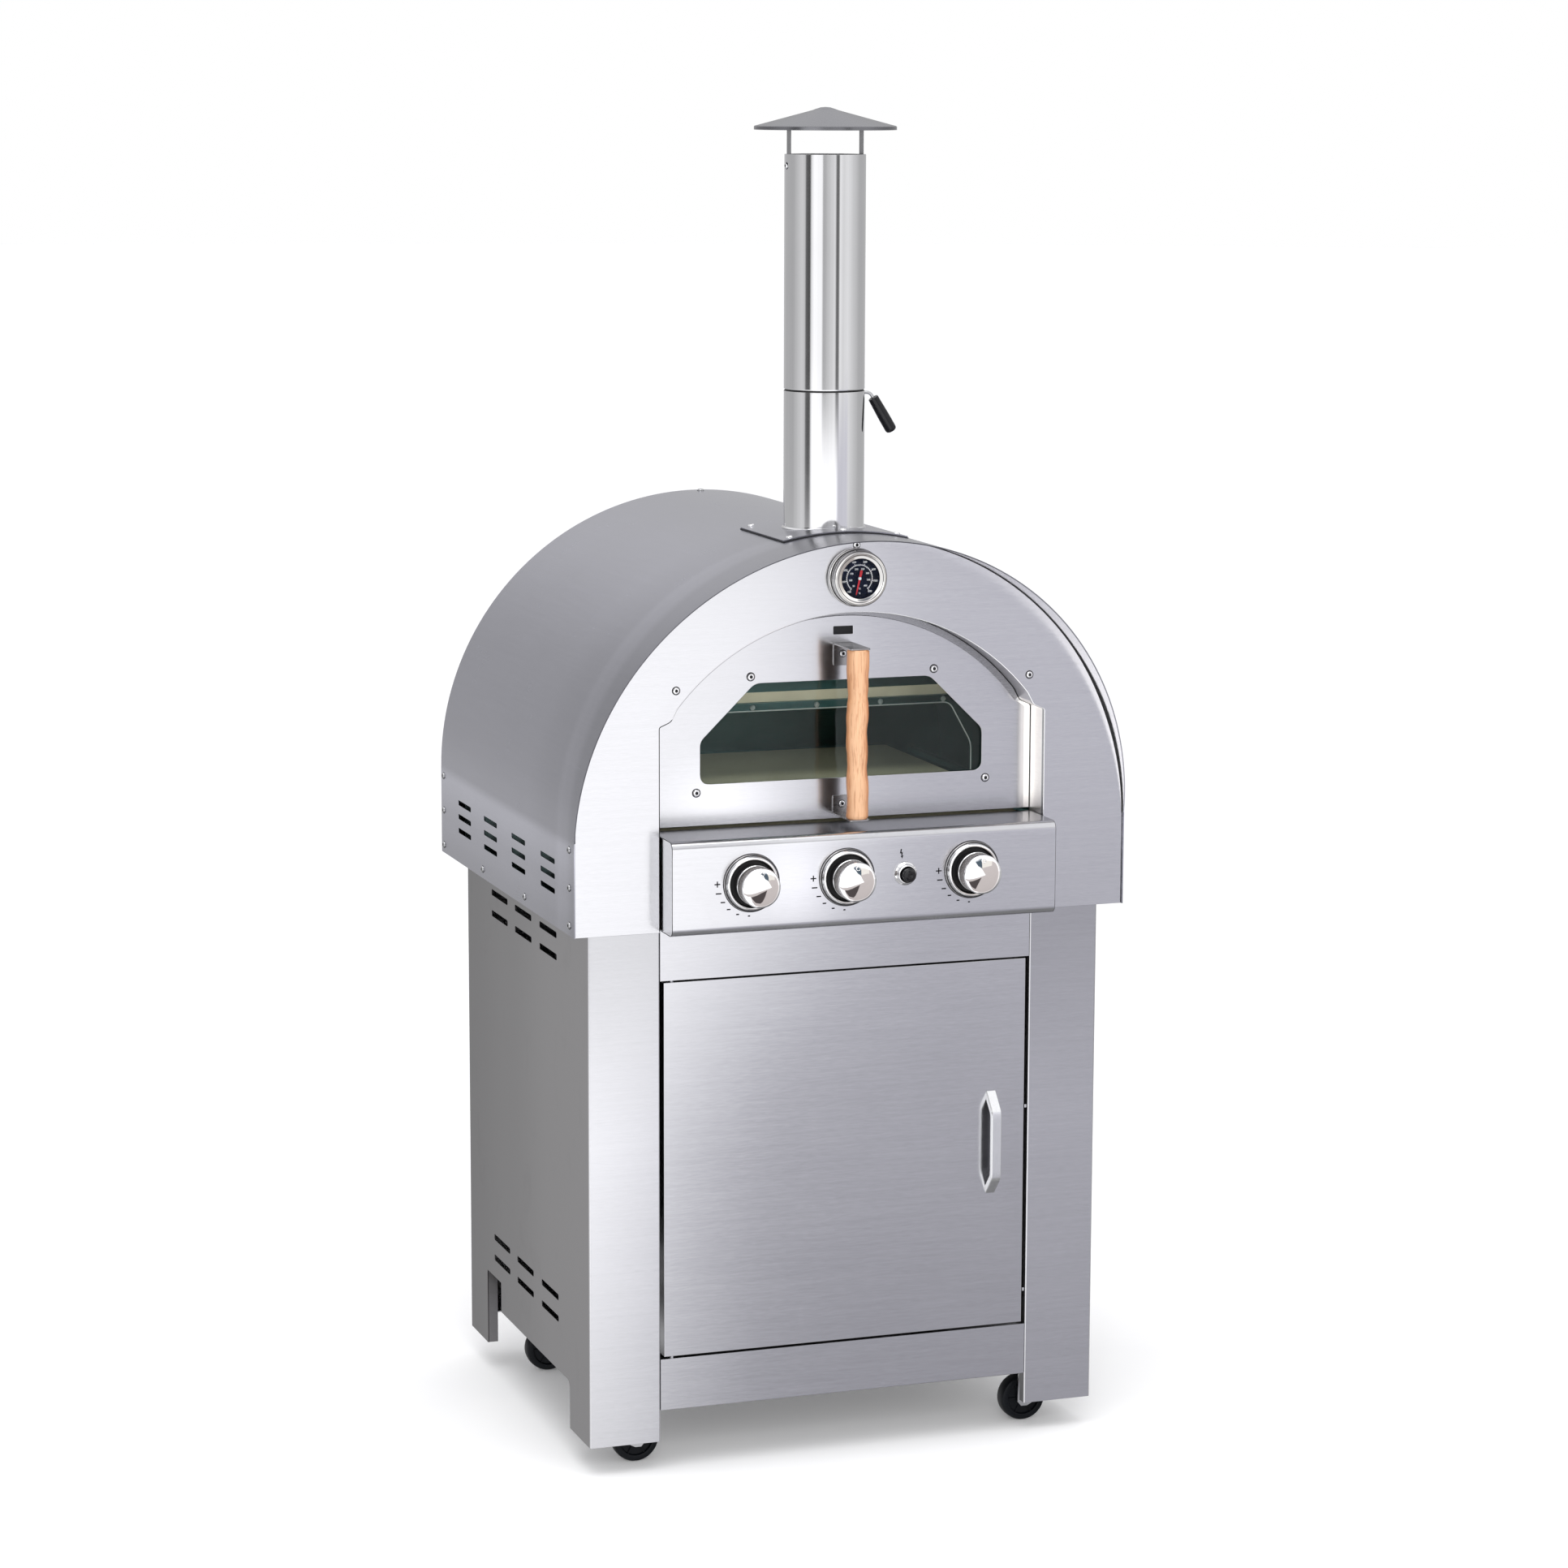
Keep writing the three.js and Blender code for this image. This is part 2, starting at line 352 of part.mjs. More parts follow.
// ---------- chimney: curved base plate with a collar, two pipes, rain cap on two straps ----------
{
  const hood = rod([0, -20, HOOD_ZC], [0, 700, HOOD_ZC], HOOD_R + GAP, 64);
  const a0 = Math.acos(81 / (HOOD_R + 2));
  const sheet = plateY([...arc(0, HOOD_ZC, HOOD_R + 2, a0, Math.PI - a0, 8), ...arc(0, HOOD_ZC, HOOD_R - 4, Math.PI - a0, a0, 4)], 36, 198);
  const collar = rod([0, PIPE_Y, ZB + 462], [0, PIPE_Y, ZB + 486], PIPE_R + 2, 24);
  add("chimney_base_plate", sheet.add(collar).subtract(hood).subtract(rod([0, PIPE_Y, ZB + 440], [0, PIPE_Y, ZB + 500], PIPE_R + 0.4, 24)), "steel");
  const R = PIPE_R, r = PIPE_R - PIPE_T, z0 = ZB + 432, s = 48.5;
  const lower = latheZ(ring([[r, z0], [R, z0], [R, SEAM_Z], [s, SEAM_Z], [s, SEAM_Z + 28], [s - 1.2, SEAM_Z + 28], [s - 1.2, SEAM_Z - 3], [r, SEAM_Z - 6]]), 0, PIPE_Y, 24);
  const pin = rod([-60, PIPE_Y, DAMPER_Z], [60, PIPE_Y, DAMPER_Z], 2.4, 12);
  add("chimney_lower_pipe", lower.subtract(pin), "polished");
  add("chimney_upper_pipe", latheZ(ring([[r, SEAM_Z + 0.6], [R, SEAM_Z + 0.6], [R, PIPE_TOP], [r, PIPE_TOP]]), 0, PIPE_Y, 24), "polished");
  let cap = latheZ([[0, CAP_TOP], [12, CAP_TOP - 2.8], [CAP_R, CAP_RIM_Z], [CAP_R, CAP_RIM_Z - 4.5], [CAP_R - 1.2, CAP_RIM_Z - 4.5], [CAP_R - 1.2, CAP_RIM_Z - 1.2], [12, CAP_TOP - 4.4], [0, CAP_TOP - 2.2]].reverse(), 0, PIPE_Y, 28);
  for (const q of [-1, 1]) cap = cap.add(box(Math.min(q * 46.2, q * 47.6), Math.max(q * 46.2, q * 47.6), PIPE_Y - 6.5, PIPE_Y + 6.5, PIPE_TOP - 32, CAP_RIM_Z + 10.2));
  add("chimney_cap", cap, "polished");
  const disc = rod([0, PIPE_Y - 0.7, DAMPER_Z], [0, PIPE_Y + 0.7, DAMPER_Z], DAMPER_R, 24);
  const dr = [26, 0, -43].map((q) => q / Math.hypot(26, 43));
  const G0 = [63.3, PIPE_Y, DAMPER_Z - 5];
  const wire = tube([[-49.4, PIPE_Y, DAMPER_Z], [G0[0] + (dr[0] * (DAMPER_Z - G0[2])) / dr[2], PIPE_Y, DAMPER_Z], [G0[0] + dr[0] * 30, PIPE_Y, G0[2] + dr[2] * 30]], 2, 10, 5);
  add("damper_plate", disc.add(wire), "steelDark");
  const at = (t) => [G0[0] + dr[0] * t, PIPE_Y, G0[2] + dr[2] * t];
  add("damper_grip", rod(at(2), at(51), 7.2, 16).subtract(rod(at(-3), at(33), 2.6, 12)), "gloss");
}

// ---------- cabinet ----------
for (const [side, s] of [["left", -1], ["right", 1]]) {
  const X = (a, b) => [Math.min(s * a, s * b), Math.max(s * a, s * b)];
  const top = ZB + 1.5;
  const outline = [[CAB_Y0, FOOT_Z], [110, FOOT_Z], [110, 93], [117, 99], [430, 99], [430, 139], [498, 139], [498, FOOT_Z], [CAB_Y1, FOOT_Z], [CAB_Y1, top], [CAB_Y0, top]];
  let p = plateX(outline, ...X(CAB_HALF, CAB_HALF - SHEET));
  p = p.add(box(...X(CAB_HALF, CAB_HALF - CAB_LEG), CAB_Y0, CAB_Y0 + SHEET, FOOT_Z, top));
  p = p.add(box(...X(CAB_HALF - CAB_LEG + SHEET, CAB_HALF - CAB_LEG), CAB_Y0, CAB_Y0 + 14, FOOT_Z, top));
  p = p.add(box(...X(CAB_HALF, CAB_HALF - 32), CAB_Y1 - SHEET, CAB_Y1, FOOT_Z, top));
  p = p.add(box(...X(CAB_HALF, CAB_HALF - 14), 498, 499.5, FOOT_Z, 140));
  for (const yc of [423, 311, 197])
    for (const z of [ZB - 28, ZB - 56, ZB - 494, ZB - 522])
      p = p.subtract(slotX(Math.min(s * 345, s * 325), Math.max(s * 345, s * 325), yc, z, 77, 8));
  add("cabinet_side_" + side, p, "steelDark");
}
add("cabinet_back_panel", box(-333, 333, CAB_Y1 - 3.3, CAB_Y1 - 1.8, CAB_FLOOR_Z + 4, ZB - 1), "steelDark");
{
  // between the feet the tray is narrower than the cabinet, so its edge stays behind the raised side sheets
  let f = box(-298, 298, 25, 577, CAB_FLOOR_Z, CAB_FLOOR_Z + SHEET).add(box(-333.6, 333.6, 25, 108, CAB_FLOOR_Z, CAB_FLOOR_Z + SHEET)).add(box(-333.6, 333.6, 503, 577, CAB_FLOOR_Z, CAB_FLOOR_Z + SHEET));
  for (const s of [-1, 1]) {
    f = f.add(box(Math.min(s * 298, s * 296.5), Math.max(s * 298, s * 296.5), 108, 503, CAB_FLOOR_Z, CAB_FLOOR_Z + 18));
    for (const [ya, yb] of [[42, 108], [503, 577]]) f = f.add(box(Math.min(s * 333.6, s * 332.1), Math.max(s * 333.6, s * 332.1), ya, yb, CAB_FLOOR_Z, CAB_FLOOR_Z + 18));
  }
  for (const s of [-1, 1]) for (const k of ["front", "rear"]) {
    const [x, y] = CASTERS[k];
    f = f.subtract(rod([s * x, y, CAB_FLOOR_Z - 3], [s * x, y, CAB_FLOOR_Z + 5], 6.4, 16));
  }
  for (const s of [-1, 1]) f = f.subtract(box(Math.min(s * 340, s * 319), Math.max(s * 340, s * 319), 496, 502, 70, 100)).subtract(box(Math.min(s * 243.6, s * 246.2), Math.max(s * 243.6, s * 246.2), 20, 37, 70, 100));
  add("cabinet_floor", f, "steelDark");
}
{
  const w = CAB_HALF - CAB_LEG - 0.5;
  const t = box(-w, w, CAB_Y0, CAB_Y0 + SHEET, ZB - 65, ZB + 1.5).add(box(-w, w, CAB_Y0, 46, ZB - 65, ZB - 65 + SHEET))
    .add(rod([HINGE_X, HINGE_Y, ZB - 64], [HINGE_X, HINGE_Y, ZB - 75], 3, 14));
  add("front_top_rail", t, "steel");
  const z1 = ZB - 544.5, z0 = ZB - 609.5;
  const b = box(-w, w, CAB_Y0, CAB_Y0 + SHEET, z0, z1).add(box(-w, w, CAB_Y0, 46, z1 - SHEET, z1))
    .add(rod([HINGE_X, HINGE_Y, z1 - 1], [HINGE_X, HINGE_Y, z1 + 10], 3, 14));
  add("front_bottom_rail", b, "steel");
}
{
  const y0 = CAB_Y0, y1 = CAB_Y0 + DOOR_T;
  let d = box(-DOOR_HALF, DOOR_HALF, y0, y1, DOOR_Z0, DOOR_Z1).subtract(box(-DOOR_HALF + SHEET, DOOR_HALF - SHEET, y0 + SHEET, y1 + 5, DOOR_Z0 + SHEET, DOOR_Z1 - SHEET));
  d = d.subtract(rod([HINGE_X, HINGE_Y, DOOR_Z0 - 5], [HINGE_X, HINGE_Y, DOOR_Z0 + 5], 3.35, 16)).subtract(rod([HINGE_X, HINGE_Y, DOOR_Z1 - 5], [HINGE_X, HINGE_Y, DOOR_Z1 + 5], 3.35, 16));
  add("cabinet_door", d, "steel");
  const f = y0 - GAP;
  add("cabinet_door_pull", plateX([[f, ZB - 367], [2, ZB - 347], [1, ZB - 343], [1, ZB - 261], [2, ZB - 257], [f, ZB - 236], [f, ZB - 248], [9, ZB - 262], [8, ZB - 265], [8, ZB - 339], [9, ZB - 342], [f, ZB - 355]], 187.5, 200.5), "alu");
}

// ---------- casters ----------
for (const [side, s] of [["left", -1], ["right", 1]])
  for (const k of ["front", "rear"]) {
    const [hx, cy] = CASTERS[k], cx = s * hx, wx = cx - s * TRAIL, zc = WHEEL_R;
    let f = rod([cx, cy, 71.5], [cx, cy, CAB_FLOOR_Z - GAP], 19, 16).add(rod([cx, cy, 72], [cx, cy, CAB_FLOOR_Z + 12], 6, 12));
    const lo = Math.min(cx, wx), hi = Math.max(cx, wx);
    f = f.add(box(lo - 12, hi + 8, cy - 15, cy + 15, 67.5, 72));
    const arm = [[cx - s * -14, 70], [cx - s * -9, 62], [wx - s * -9, zc - 6], [wx - s * -3, zc - 9], [wx - s * 5, zc - 9], [wx - s * 10, zc - 3], [wx - s * 9, 62], [wx - s * 7, 70]];
    for (const q of [-1, 1]) f = f.add(plateY(arm, Math.min(cy + q * 12.6, cy + q * 15), Math.max(cy + q * 12.6, cy + q * 15)));
    f = f.add(rod([wx, cy - 16.5, zc], [wx, cy + 16.5, zc], AXLE_R, 12));
    add("caster_fork_" + k + "_" + side, f, "zinc");
    const w = WHEEL_W / 2;
    add("caster_wheel_" + k + "_" + side, latheY(ring([[AXLE_R + 0.35, cy - w], [WHEEL_R - 2.5, cy - w], [WHEEL_R, cy - w + 4], [WHEEL_R, cy + w - 4], [WHEEL_R - 2.5, cy + w], [AXLE_R + 0.35, cy + w]]), wx, zc, 24), "black");
  }

export default root;
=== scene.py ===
import bpy
import bmesh
import json
import math
from mathutils import Matrix, Vector, noise

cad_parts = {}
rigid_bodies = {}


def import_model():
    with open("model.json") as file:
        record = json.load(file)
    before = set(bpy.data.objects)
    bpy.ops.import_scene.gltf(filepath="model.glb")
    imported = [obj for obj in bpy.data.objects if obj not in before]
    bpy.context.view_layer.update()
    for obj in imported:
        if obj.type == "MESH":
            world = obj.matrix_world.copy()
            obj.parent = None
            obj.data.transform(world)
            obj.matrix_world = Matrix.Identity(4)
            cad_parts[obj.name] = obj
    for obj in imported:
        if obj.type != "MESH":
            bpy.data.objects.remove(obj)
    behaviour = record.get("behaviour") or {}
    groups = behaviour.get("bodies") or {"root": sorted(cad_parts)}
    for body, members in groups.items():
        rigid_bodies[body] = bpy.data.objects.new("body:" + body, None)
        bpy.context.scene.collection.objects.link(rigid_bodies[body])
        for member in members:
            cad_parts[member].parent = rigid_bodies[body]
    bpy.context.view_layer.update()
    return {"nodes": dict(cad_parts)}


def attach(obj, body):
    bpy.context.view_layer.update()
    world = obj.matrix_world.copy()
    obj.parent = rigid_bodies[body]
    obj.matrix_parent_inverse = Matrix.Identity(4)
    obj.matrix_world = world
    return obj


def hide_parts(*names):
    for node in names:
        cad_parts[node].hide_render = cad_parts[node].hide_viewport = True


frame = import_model()
N = frame["nodes"]

# Dimensions in millimetres in the part's own build coordinates; YC moves them to the shared frame.
YC, ZB = 268.4, 688.0
OVEN = "oven_and_cabinet"
PI = math.pi


def W(x, y, z):
    return Vector((x * 0.001, (y - YC) * 0.001, z * 0.001))


# ---------------------------------------------------------------- camera
a, p, r = 0.337083, 0.164374, 0.00321
fwd = Vector((math.sin(a) * math.cos(p), math.cos(a) * math.cos(p), -math.sin(p)))
right0 = Vector((math.cos(a), -math.sin(a), 0))
up0 = right0.cross(fwd)
right = right0 * math.cos(r) + up0 * math.sin(r)
up = -right0 * math.sin(r) + up0 * math.cos(r)
cam_data = bpy.data.cameras.new("camera")
cam_data.sensor_width = 36.0
cam_data.lens = 97.43
cam_data.clip_start, cam_data.clip_end = 0.05, 200
cam = bpy.data.objects.new("camera", cam_data)
m = Matrix((right, up, -fwd)).transposed().to_4x4()
m.translation = Vector((-1.7805, -5.0867, 1.7101))
cam.matrix_world = m
bpy.context.scene.collection.objects.link(cam)
bpy.context.scene.camera = cam


# ---------------------------------------------------------------- materials
class Graph:
    def __init__(self, name):
        self.mat = bpy.data.materials.new(name)
        self.mat.use_nodes = True
        self.nt = self.mat.node_tree
        self.nt.nodes.clear()
        self.out = self.node("ShaderNodeOutputMaterial")
        self.bs = self.node("ShaderNodeBsdfPrincipled")
        self.link(self.bs.outputs[0], self.out.inputs[0])

    def node(self, kind, **props):
        n = self.nt.nodes.new(kind)
        for k, v in props.items():
            setattr(n, k, v)
        return n

    def link(self, o, i):
        self.nt.links.new(o, i)

    def coord(self, kind="Object"):
        if kind == "UV":
            return self.node("ShaderNodeUVMap", uv_map="UVMap").outputs[0]
        return self.node("ShaderNodeTexCoord").outputs[kind]

    def mapped(self, src, scale, loc=(0, 0, 0), rot=(0, 0, 0)):
        n = self.node("ShaderNodeMapping")
        n.inputs["Scale"].default_value = scale
        n.inputs["Location"].default_value = loc
        n.inputs["Rotation"].default_value = rot
        self.link(src, n.inputs[0])
        return n.outputs[0]

    def noise(self, src, scale=1.0, detail=2.0, rough=0.5, distort=0.0):
        n = self.node("ShaderNodeTexNoise")
        n.inputs["Scale"].default_value = scale
        n.inputs["Detail"].default_value = detail
        n.inputs["Roughness"].default_value = rough
        n.inputs["Distortion"].default_value = distort
        self.link(src, n.inputs["Vector"])
        return n.outputs[0]

    def math(self, op, x, y=0.0):
        n = self.node("ShaderNodeMath", operation=op)
        for i, v in enumerate((x, y)):
            if isinstance(v, (int, float)):
                n.inputs[i].default_value = v
            else:
                self.link(v, n.inputs[i])
        return n.outputs[0]

    def span(self, x, lo, hi, to_lo, to_hi, smooth=False):
        n = self.node("ShaderNodeMapRange")
        if smooth:
            n.interpolation_type = "SMOOTHSTEP"
        n.inputs["From Min"].default_value, n.inputs["From Max"].default_value = lo, hi
        n.inputs["To Min"].default_value, n.inputs["To Max"].default_value = to_lo, to_hi
        self.link(x, n.inputs[0])
        return n.outputs[0]

    def ramp(self, x, stops, mode="LINEAR"):
        n = self.node("ShaderNodeValToRGB")
        n.color_ramp.interpolation = mode
        els = n.color_ramp.elements
        while len(els) < len(stops):
            els.new(0.5)
        for e, (pos, c) in zip(els, stops):
            e.position = pos
            e.color = (*c, 1)
        self.link(x, n.inputs[0])
        return n.outputs[0]

    def mix(self, f, x, y, blend="MIX"):
        n = self.node("ShaderNodeMix", data_type="RGBA", blend_type=blend)
        for i, v in ((0, f), (6, x), (7, y)):
            if isinstance(v, (int, float)):
                n.inputs[i].default_value = v
            elif isinstance(v, tuple):
                n.inputs[i].default_value = (*v, 1)
            else:
                self.link(v, n.inputs[i])
        return n.outputs[2]

    def set(self, **kw):
        for k, v in kw.items():
            i = self.bs.inputs[k.replace("_", " ")]
            if isinstance(v, bpy.types.NodeSocket):
                self.link(v, i)
            elif isinstance(v, tuple) and len(v) == 3 and i.type == "RGBA":
                i.default_value = (*v, 1)
            else:
                i.default_value = v

    def bump(self, h, strength, dist):
        n = self.node("ShaderNodeBump")
        n.inputs["Strength"].default_value = strength
        n.inputs["Distance"].default_value = dist
        self.link(h, n.inputs["Height"])
        self.link(n.outputs[0], self.bs.inputs["Normal"])


def scaled(c, k):
    return tuple(min(1.0, x * k) for x in c)


def steel(name, base, rough, uv=True, along=80.0, across=1150.0, aniso=0.5, streak=0.06, bump=0.07, cloud=0.02,
          axis="Z", skirt_painted_light=False, marks=0.5, shade=None):
    """Brushed stainless: fine lines across the grain, broader streaks, slow clouding and faint handling marks; optional
    painted light low on the hood's skirt and painted shade along the depth.
    """
    g = Graph(name)
    obj = g.coord()
    if uv:
        src = g.coord("UV")
        s1, s2 = (along, across, 1), (along * 0.12, across * 0.2, 1)
    else:
        src = obj
        s1 = (along, along, across) if axis == "Z" else (across, along, along)
        s2 = (along * 0.12, along * 0.12, across * 0.2) if axis == "Z" else (across * 0.2, along * 0.12, along * 0.12)
    fine = g.noise(g.mapped(src, s1), 1.0, 3.0, 0.62)
    broad = g.noise(g.mapped(src, s2, (3.1, 7.7, 1.3)), 1.0, 2.0, 0.5)
    slow = g.noise(g.mapped(obj, (4.2, 4.2, 5.5), (1.7, 0.4, 2.2)), 1.0, 3.0, 0.55)
    smear = g.noise(g.mapped(obj, (17, 17, 11), (5.0, 2.0, 9.0)), 1.0, 5.0, 0.7, 0.6)
    grain = g.math("ADD", g.math("MULTIPLY", fine, 0.7), g.math("MULTIPLY", broad, 0.3))
    k = g.math("ADD", g.span(grain, 0.28, 0.72, 1 - streak, 1 + streak), g.span(slow, 0.3, 0.7, -cloud, cloud))
    tone = g.node("ShaderNodeVectorMath", operation="SCALE")
    tone.inputs[0].default_value = base
    g.link(k, tone.inputs["Scale"])
    colour = tone.outputs[0]
    # painted light on the skirt: up to about 120 mm above the bottom edge the colour is lightened, most at about 105
    # mm, and slightly darkened right at the edge
    if skirt_painted_light:
        z = g.node("ShaderNodeSeparateXYZ")
        g.link(obj, z.inputs[0])
        skirt_light_gain = g.ramp(g.span(z.outputs[2], ZB * 0.001, (ZB + 130) * 0.001, 0.0, 1.0), [(0.0, (0.92,) * 3), (0.35, (1.1,) * 3), (0.80, (1.45,) * 3), (0.93, (1.0,) * 3)], "EASE")
        t2 = g.node("ShaderNodeVectorMath", operation="SCALE")
        g.link(colour, t2.inputs[0])
        g.link(skirt_light_gain, t2.inputs["Scale"])
        colour = t2.outputs[0]
    # painted shade: the colour is scaled by a ramp along the frame's depth, in darker and lighter bands from front to
    # back
    if shade:
        yy = g.node("ShaderNodeSeparateXYZ")
        g.link(obj, yy.inputs[0])
        t3 = g.node("ShaderNodeVectorMath", operation="SCALE")
        g.link(colour, t3.inputs[0])
        g.link(g.ramp(g.span(yy.outputs[1], -0.328, 0.356, 0.0, 1.0), [(q, (v,) * 3) for q, v in shade], "EASE"), t3.inputs["Scale"])
        colour = t3.outputs[0]
    rg = g.math("ADD", g.span(grain, 0.25, 0.75, rough - 0.03, rough + 0.03), g.span(slow, 0.3, 0.7, -0.012, 0.012))
    rg = g.math("ADD", rg, g.span(smear, 0.55, 0.8, 0.0, 0.05 * marks))
    g.set(Base_Color=colour, Metallic=1.0, Roughness=rg, Anisotropic=aniso, Anisotropic_Rotation=0.25)
    t = g.node("ShaderNodeTangent")
    if uv:
        t.direction_type = "UV_MAP"
        t.uv_map = "UVMap"
    else:
        t.direction_type = "RADIAL"
        t.axis = "Z"
    g.link(t.outputs[0], g.bs.inputs["Tangent"])
    g.bump(grain, bump, 0.00006)
    return g.mat


def polished(name, base, rough, lines=(380, 380, 1.4), bump=0.03, tint=0.04):
    """Mirror-polished steel or chrome with faint polishing lines and a few smudges."""
    g = Graph(name)
    obj = g.coord()
    fine = g.noise(g.mapped(obj, lines), 1.0, 2.0, 0.6)
    slow = g.noise(g.mapped(obj, (14, 14, 9), (2, 5, 1)), 1.0, 4.0, 0.6, 0.4)
    tone = g.node("ShaderNodeVectorMath", operation="SCALE")
    tone.inputs[0].default_value = base
    g.link(g.math("ADD", g.span(fine, 0.3, 0.7, 1 - tint, 1.0), g.span(slow, 0.3, 0.7, -0.02, 0.02)), tone.inputs["Scale"])
    g.set(Base_Color=tone.outputs[0], Metallic=1.0,
          Roughness=g.math("ADD", g.span(fine, 0.3, 0.7, rough * 0.75, rough * 1.25), g.span(slow, 0.5, 0.8, 0.0, 0.05)))
    g.bump(fine, bump, 0.00004)
    return g.mat


def plastic(name, base, rough, scale=900.0, bump=0.2, var=0.25, coat=0.0, metal=0.0, ior=1.45):
    g = Graph(name)
    obj = g.coord()
    fine = g.noise(obj, scale, 2.0, 0.6)
    slow = g.noise(obj, 24.0, 4.0, 0.6, 0.3)
    tone = g.node("ShaderNodeVectorMath", operation="SCALE")
    tone.inputs[0].default_value = base
    g.link(g.span(slow, 0.3, 0.7, 1 - var, 1 + var), tone.inputs["Scale"])
    g.set(Base_Color=tone.outputs[0], Metallic=metal, Coat_Weight=coat, Coat_Roughness=0.06,
          Roughness=g.math("ADD", g.span(fine, 0.3, 0.7, rough - 0.04, rough + 0.04), g.span(slow, 0.4, 0.7, 0.0, 0.06)))
    g.bs.inputs["IOR"].default_value = ior
    g.bump(fine, bump, 0.00003)
    return g.mat


STEEL = (0.60, 0.605, 0.62)
M_front = steel("brushed_front", (0.62, 0.62, 0.64), 0.22)
M_door = steel("brushed_door", (0.60, 0.60, 0.62), 0.21)
# painted light and shade on the hood: lighter on the skirt, darker in the first few centimetres behind the front edge
M_hood = steel("brushed_hood", (0.395, 0.395, 0.442), 0.24, skirt_painted_light=True, marks=1.0, shade=[(0.0, 0.72), (0.09, 0.78), (0.14, 0.96), (0.175, 1.0), (0.21, 0.92), (0.40, 1.0)])
# painted shade: a darker copy of the front's brushed steel for the cabinet sides, darker still towards the back
M_side_shaded = steel("brushed_side_painted_shade", (0.31, 0.302, 0.307), 0.33, marks=1.0, shade=[(0.36, 1.0), (0.65, 0.84), (0.93, 0.72)])
M_leg = steel("brushed_leg", (0.62, 0.62, 0.64), 0.22)
M_panel = steel("brushed_panel", (0.62, 0.62, 0.64), 0.20)
M_bracket = steel("bracket_plate", (0.36, 0.35, 0.35), 0.26, uv=False, across=500.0, along=90.0)
M_edge = polished("bright_edge", (0.92, 0.92, 0.93), 0.12)
# painted light and shade in the mouth's tunnel: the side walls are a near-white warm copy of the steel and the stop
# flange's sides white, as painted light; the flange over the arch and the arch walls are darker copies, as painted
# shade
M_stop_shade = steel("stop_flange", (0.34, 0.34, 0.355), 0.28, aniso=0.0)
M_tunnel_lit = steel("bright_tunnel", (0.97, 0.93, 0.89), 0.34, aniso=0.0)
M_stopside_lit = steel("stop_flange_side_painted_light", (0.99, 0.99, 0.99), 0.16, aniso=0.0)
M_arch_shade = steel("tunnel_arch_painted_shade", (0.42, 0.41, 0.43), 0.32, aniso=0.0)
M_cad = steel("brushed_sheet", (0.60, 0.60, 0.62), 0.22, uv=False)
# painted shade: a darker copy of the brushed sheet, for the base tray, the cabinet floor and a strip at the front of
# the mouth's tunnel
M_sheet_shade = steel("brushed_sheet_painted_shade", (0.33, 0.33, 0.335), 0.36, uv=False, marks=1.0)
M_back = steel("brushed_back", (0.42, 0.42, 0.43), 0.32, uv=False, marks=1.0)
M_liner = steel("heat_tinted_liner", (0.11, 0.145, 0.13), 0.42, uv=False, across=400.0, streak=0.10, cloud=0.10)
M_zinc = steel("zinc_plated", (0.55, 0.555, 0.56), 0.38, uv=False, across=60.0, along=40.0, streak=0.10, cloud=0.1, aniso=0.0)
M_brass = steel("turned_brass", (0.62, 0.44, 0.20), 0.30, uv=False, across=700.0, along=700.0, streak=0.12, aniso=0.0)
M_pipe = polished("polished_pipe", (0.70, 0.70, 0.71), 0.07)
M_gauge = polished("gauge_steel", (0.54, 0.535, 0.53), 0.06, lines=(300, 300, 300), tint=0.03)
M_chrome = polished("chrome", (0.80, 0.80, 0.81), 0.035, lines=(300, 300, 300), tint=0.02)
M_screwdull = polished("screw_steel_dull", (0.46, 0.46, 0.47), 0.20, lines=(500, 500, 500))
M_screw = polished("screw_steel", (0.84, 0.84, 0.85), 0.16, lines=(500, 500, 500))
M_cap = steel("spun_cap", (0.20, 0.20, 0.215), 0.26, uv=False, across=300.0, along=300.0, aniso=0.0, streak=0.02)
M_strap = polished("strap_steel", (0.30, 0.30, 0.31), 0.25)
M_alu = steel("satin_aluminium", (0.86, 0.865, 0.87), 0.24, uv=False, across=420.0, along=420.0, streak=0.04, aniso=0.0)
# painted shade: a dark copy of the aluminium for the pull's inner faces
M_alu_shade = polished("aluminium_back_painted_shade", (0.16, 0.16, 0.165), 0.3)
M_black = plastic("black_gloss", (0.006, 0.006, 0.008), 0.16, coat=0.0, ior=1.38)
M_wheel = plastic("wheel_rubber", (0.004, 0.005, 0.007), 0.40, scale=600.0, bump=0.4, ior=1.25)
# painted shade: black for screw sockets, grooves, the seam round the fascia and thin rings under screws and round the
# bezels, where shade falls
M_recess_shade = plastic("black_recess_painted_shade", (0.008, 0.008, 0.009), 0.5)
M_gasket = plastic("gasket", (0.016, 0.016, 0.018), 0.7, bump=0.6)
M_ink = plastic("printed_ink", (0.012, 0.012, 0.014), 0.6, ior=1.2)
M_red = plastic("needle_paint", (0.58, 0.018, 0.030), 0.35, var=0.08)
# white print on the dial and needle hub, also the painted highlight along the baffle opening's edge
M_white_print_and_highlight = plastic("white_print_and_painted_highlight", (0.86, 0.87, 0.88), 0.5, var=0.04)
M_cream = plastic("cream_enamel", (0.50, 0.42, 0.315), 0.38, scale=300.0, var=0.10)
M_dial = plastic("dial_face", (0.003, 0.006, 0.020), 0.45, var=0.3, ior=1.2)
M_inside = steel("shaded_inside", (0.19, 0.19, 0.195), 0.45, uv=False, aniso=0.0)
# painted shade: a darker copy of the panel's steel for the panel's top face
M_panel_top_shade = steel("brushed_panel_top_painted_shade", (0.31, 0.31, 0.34), 0.22)
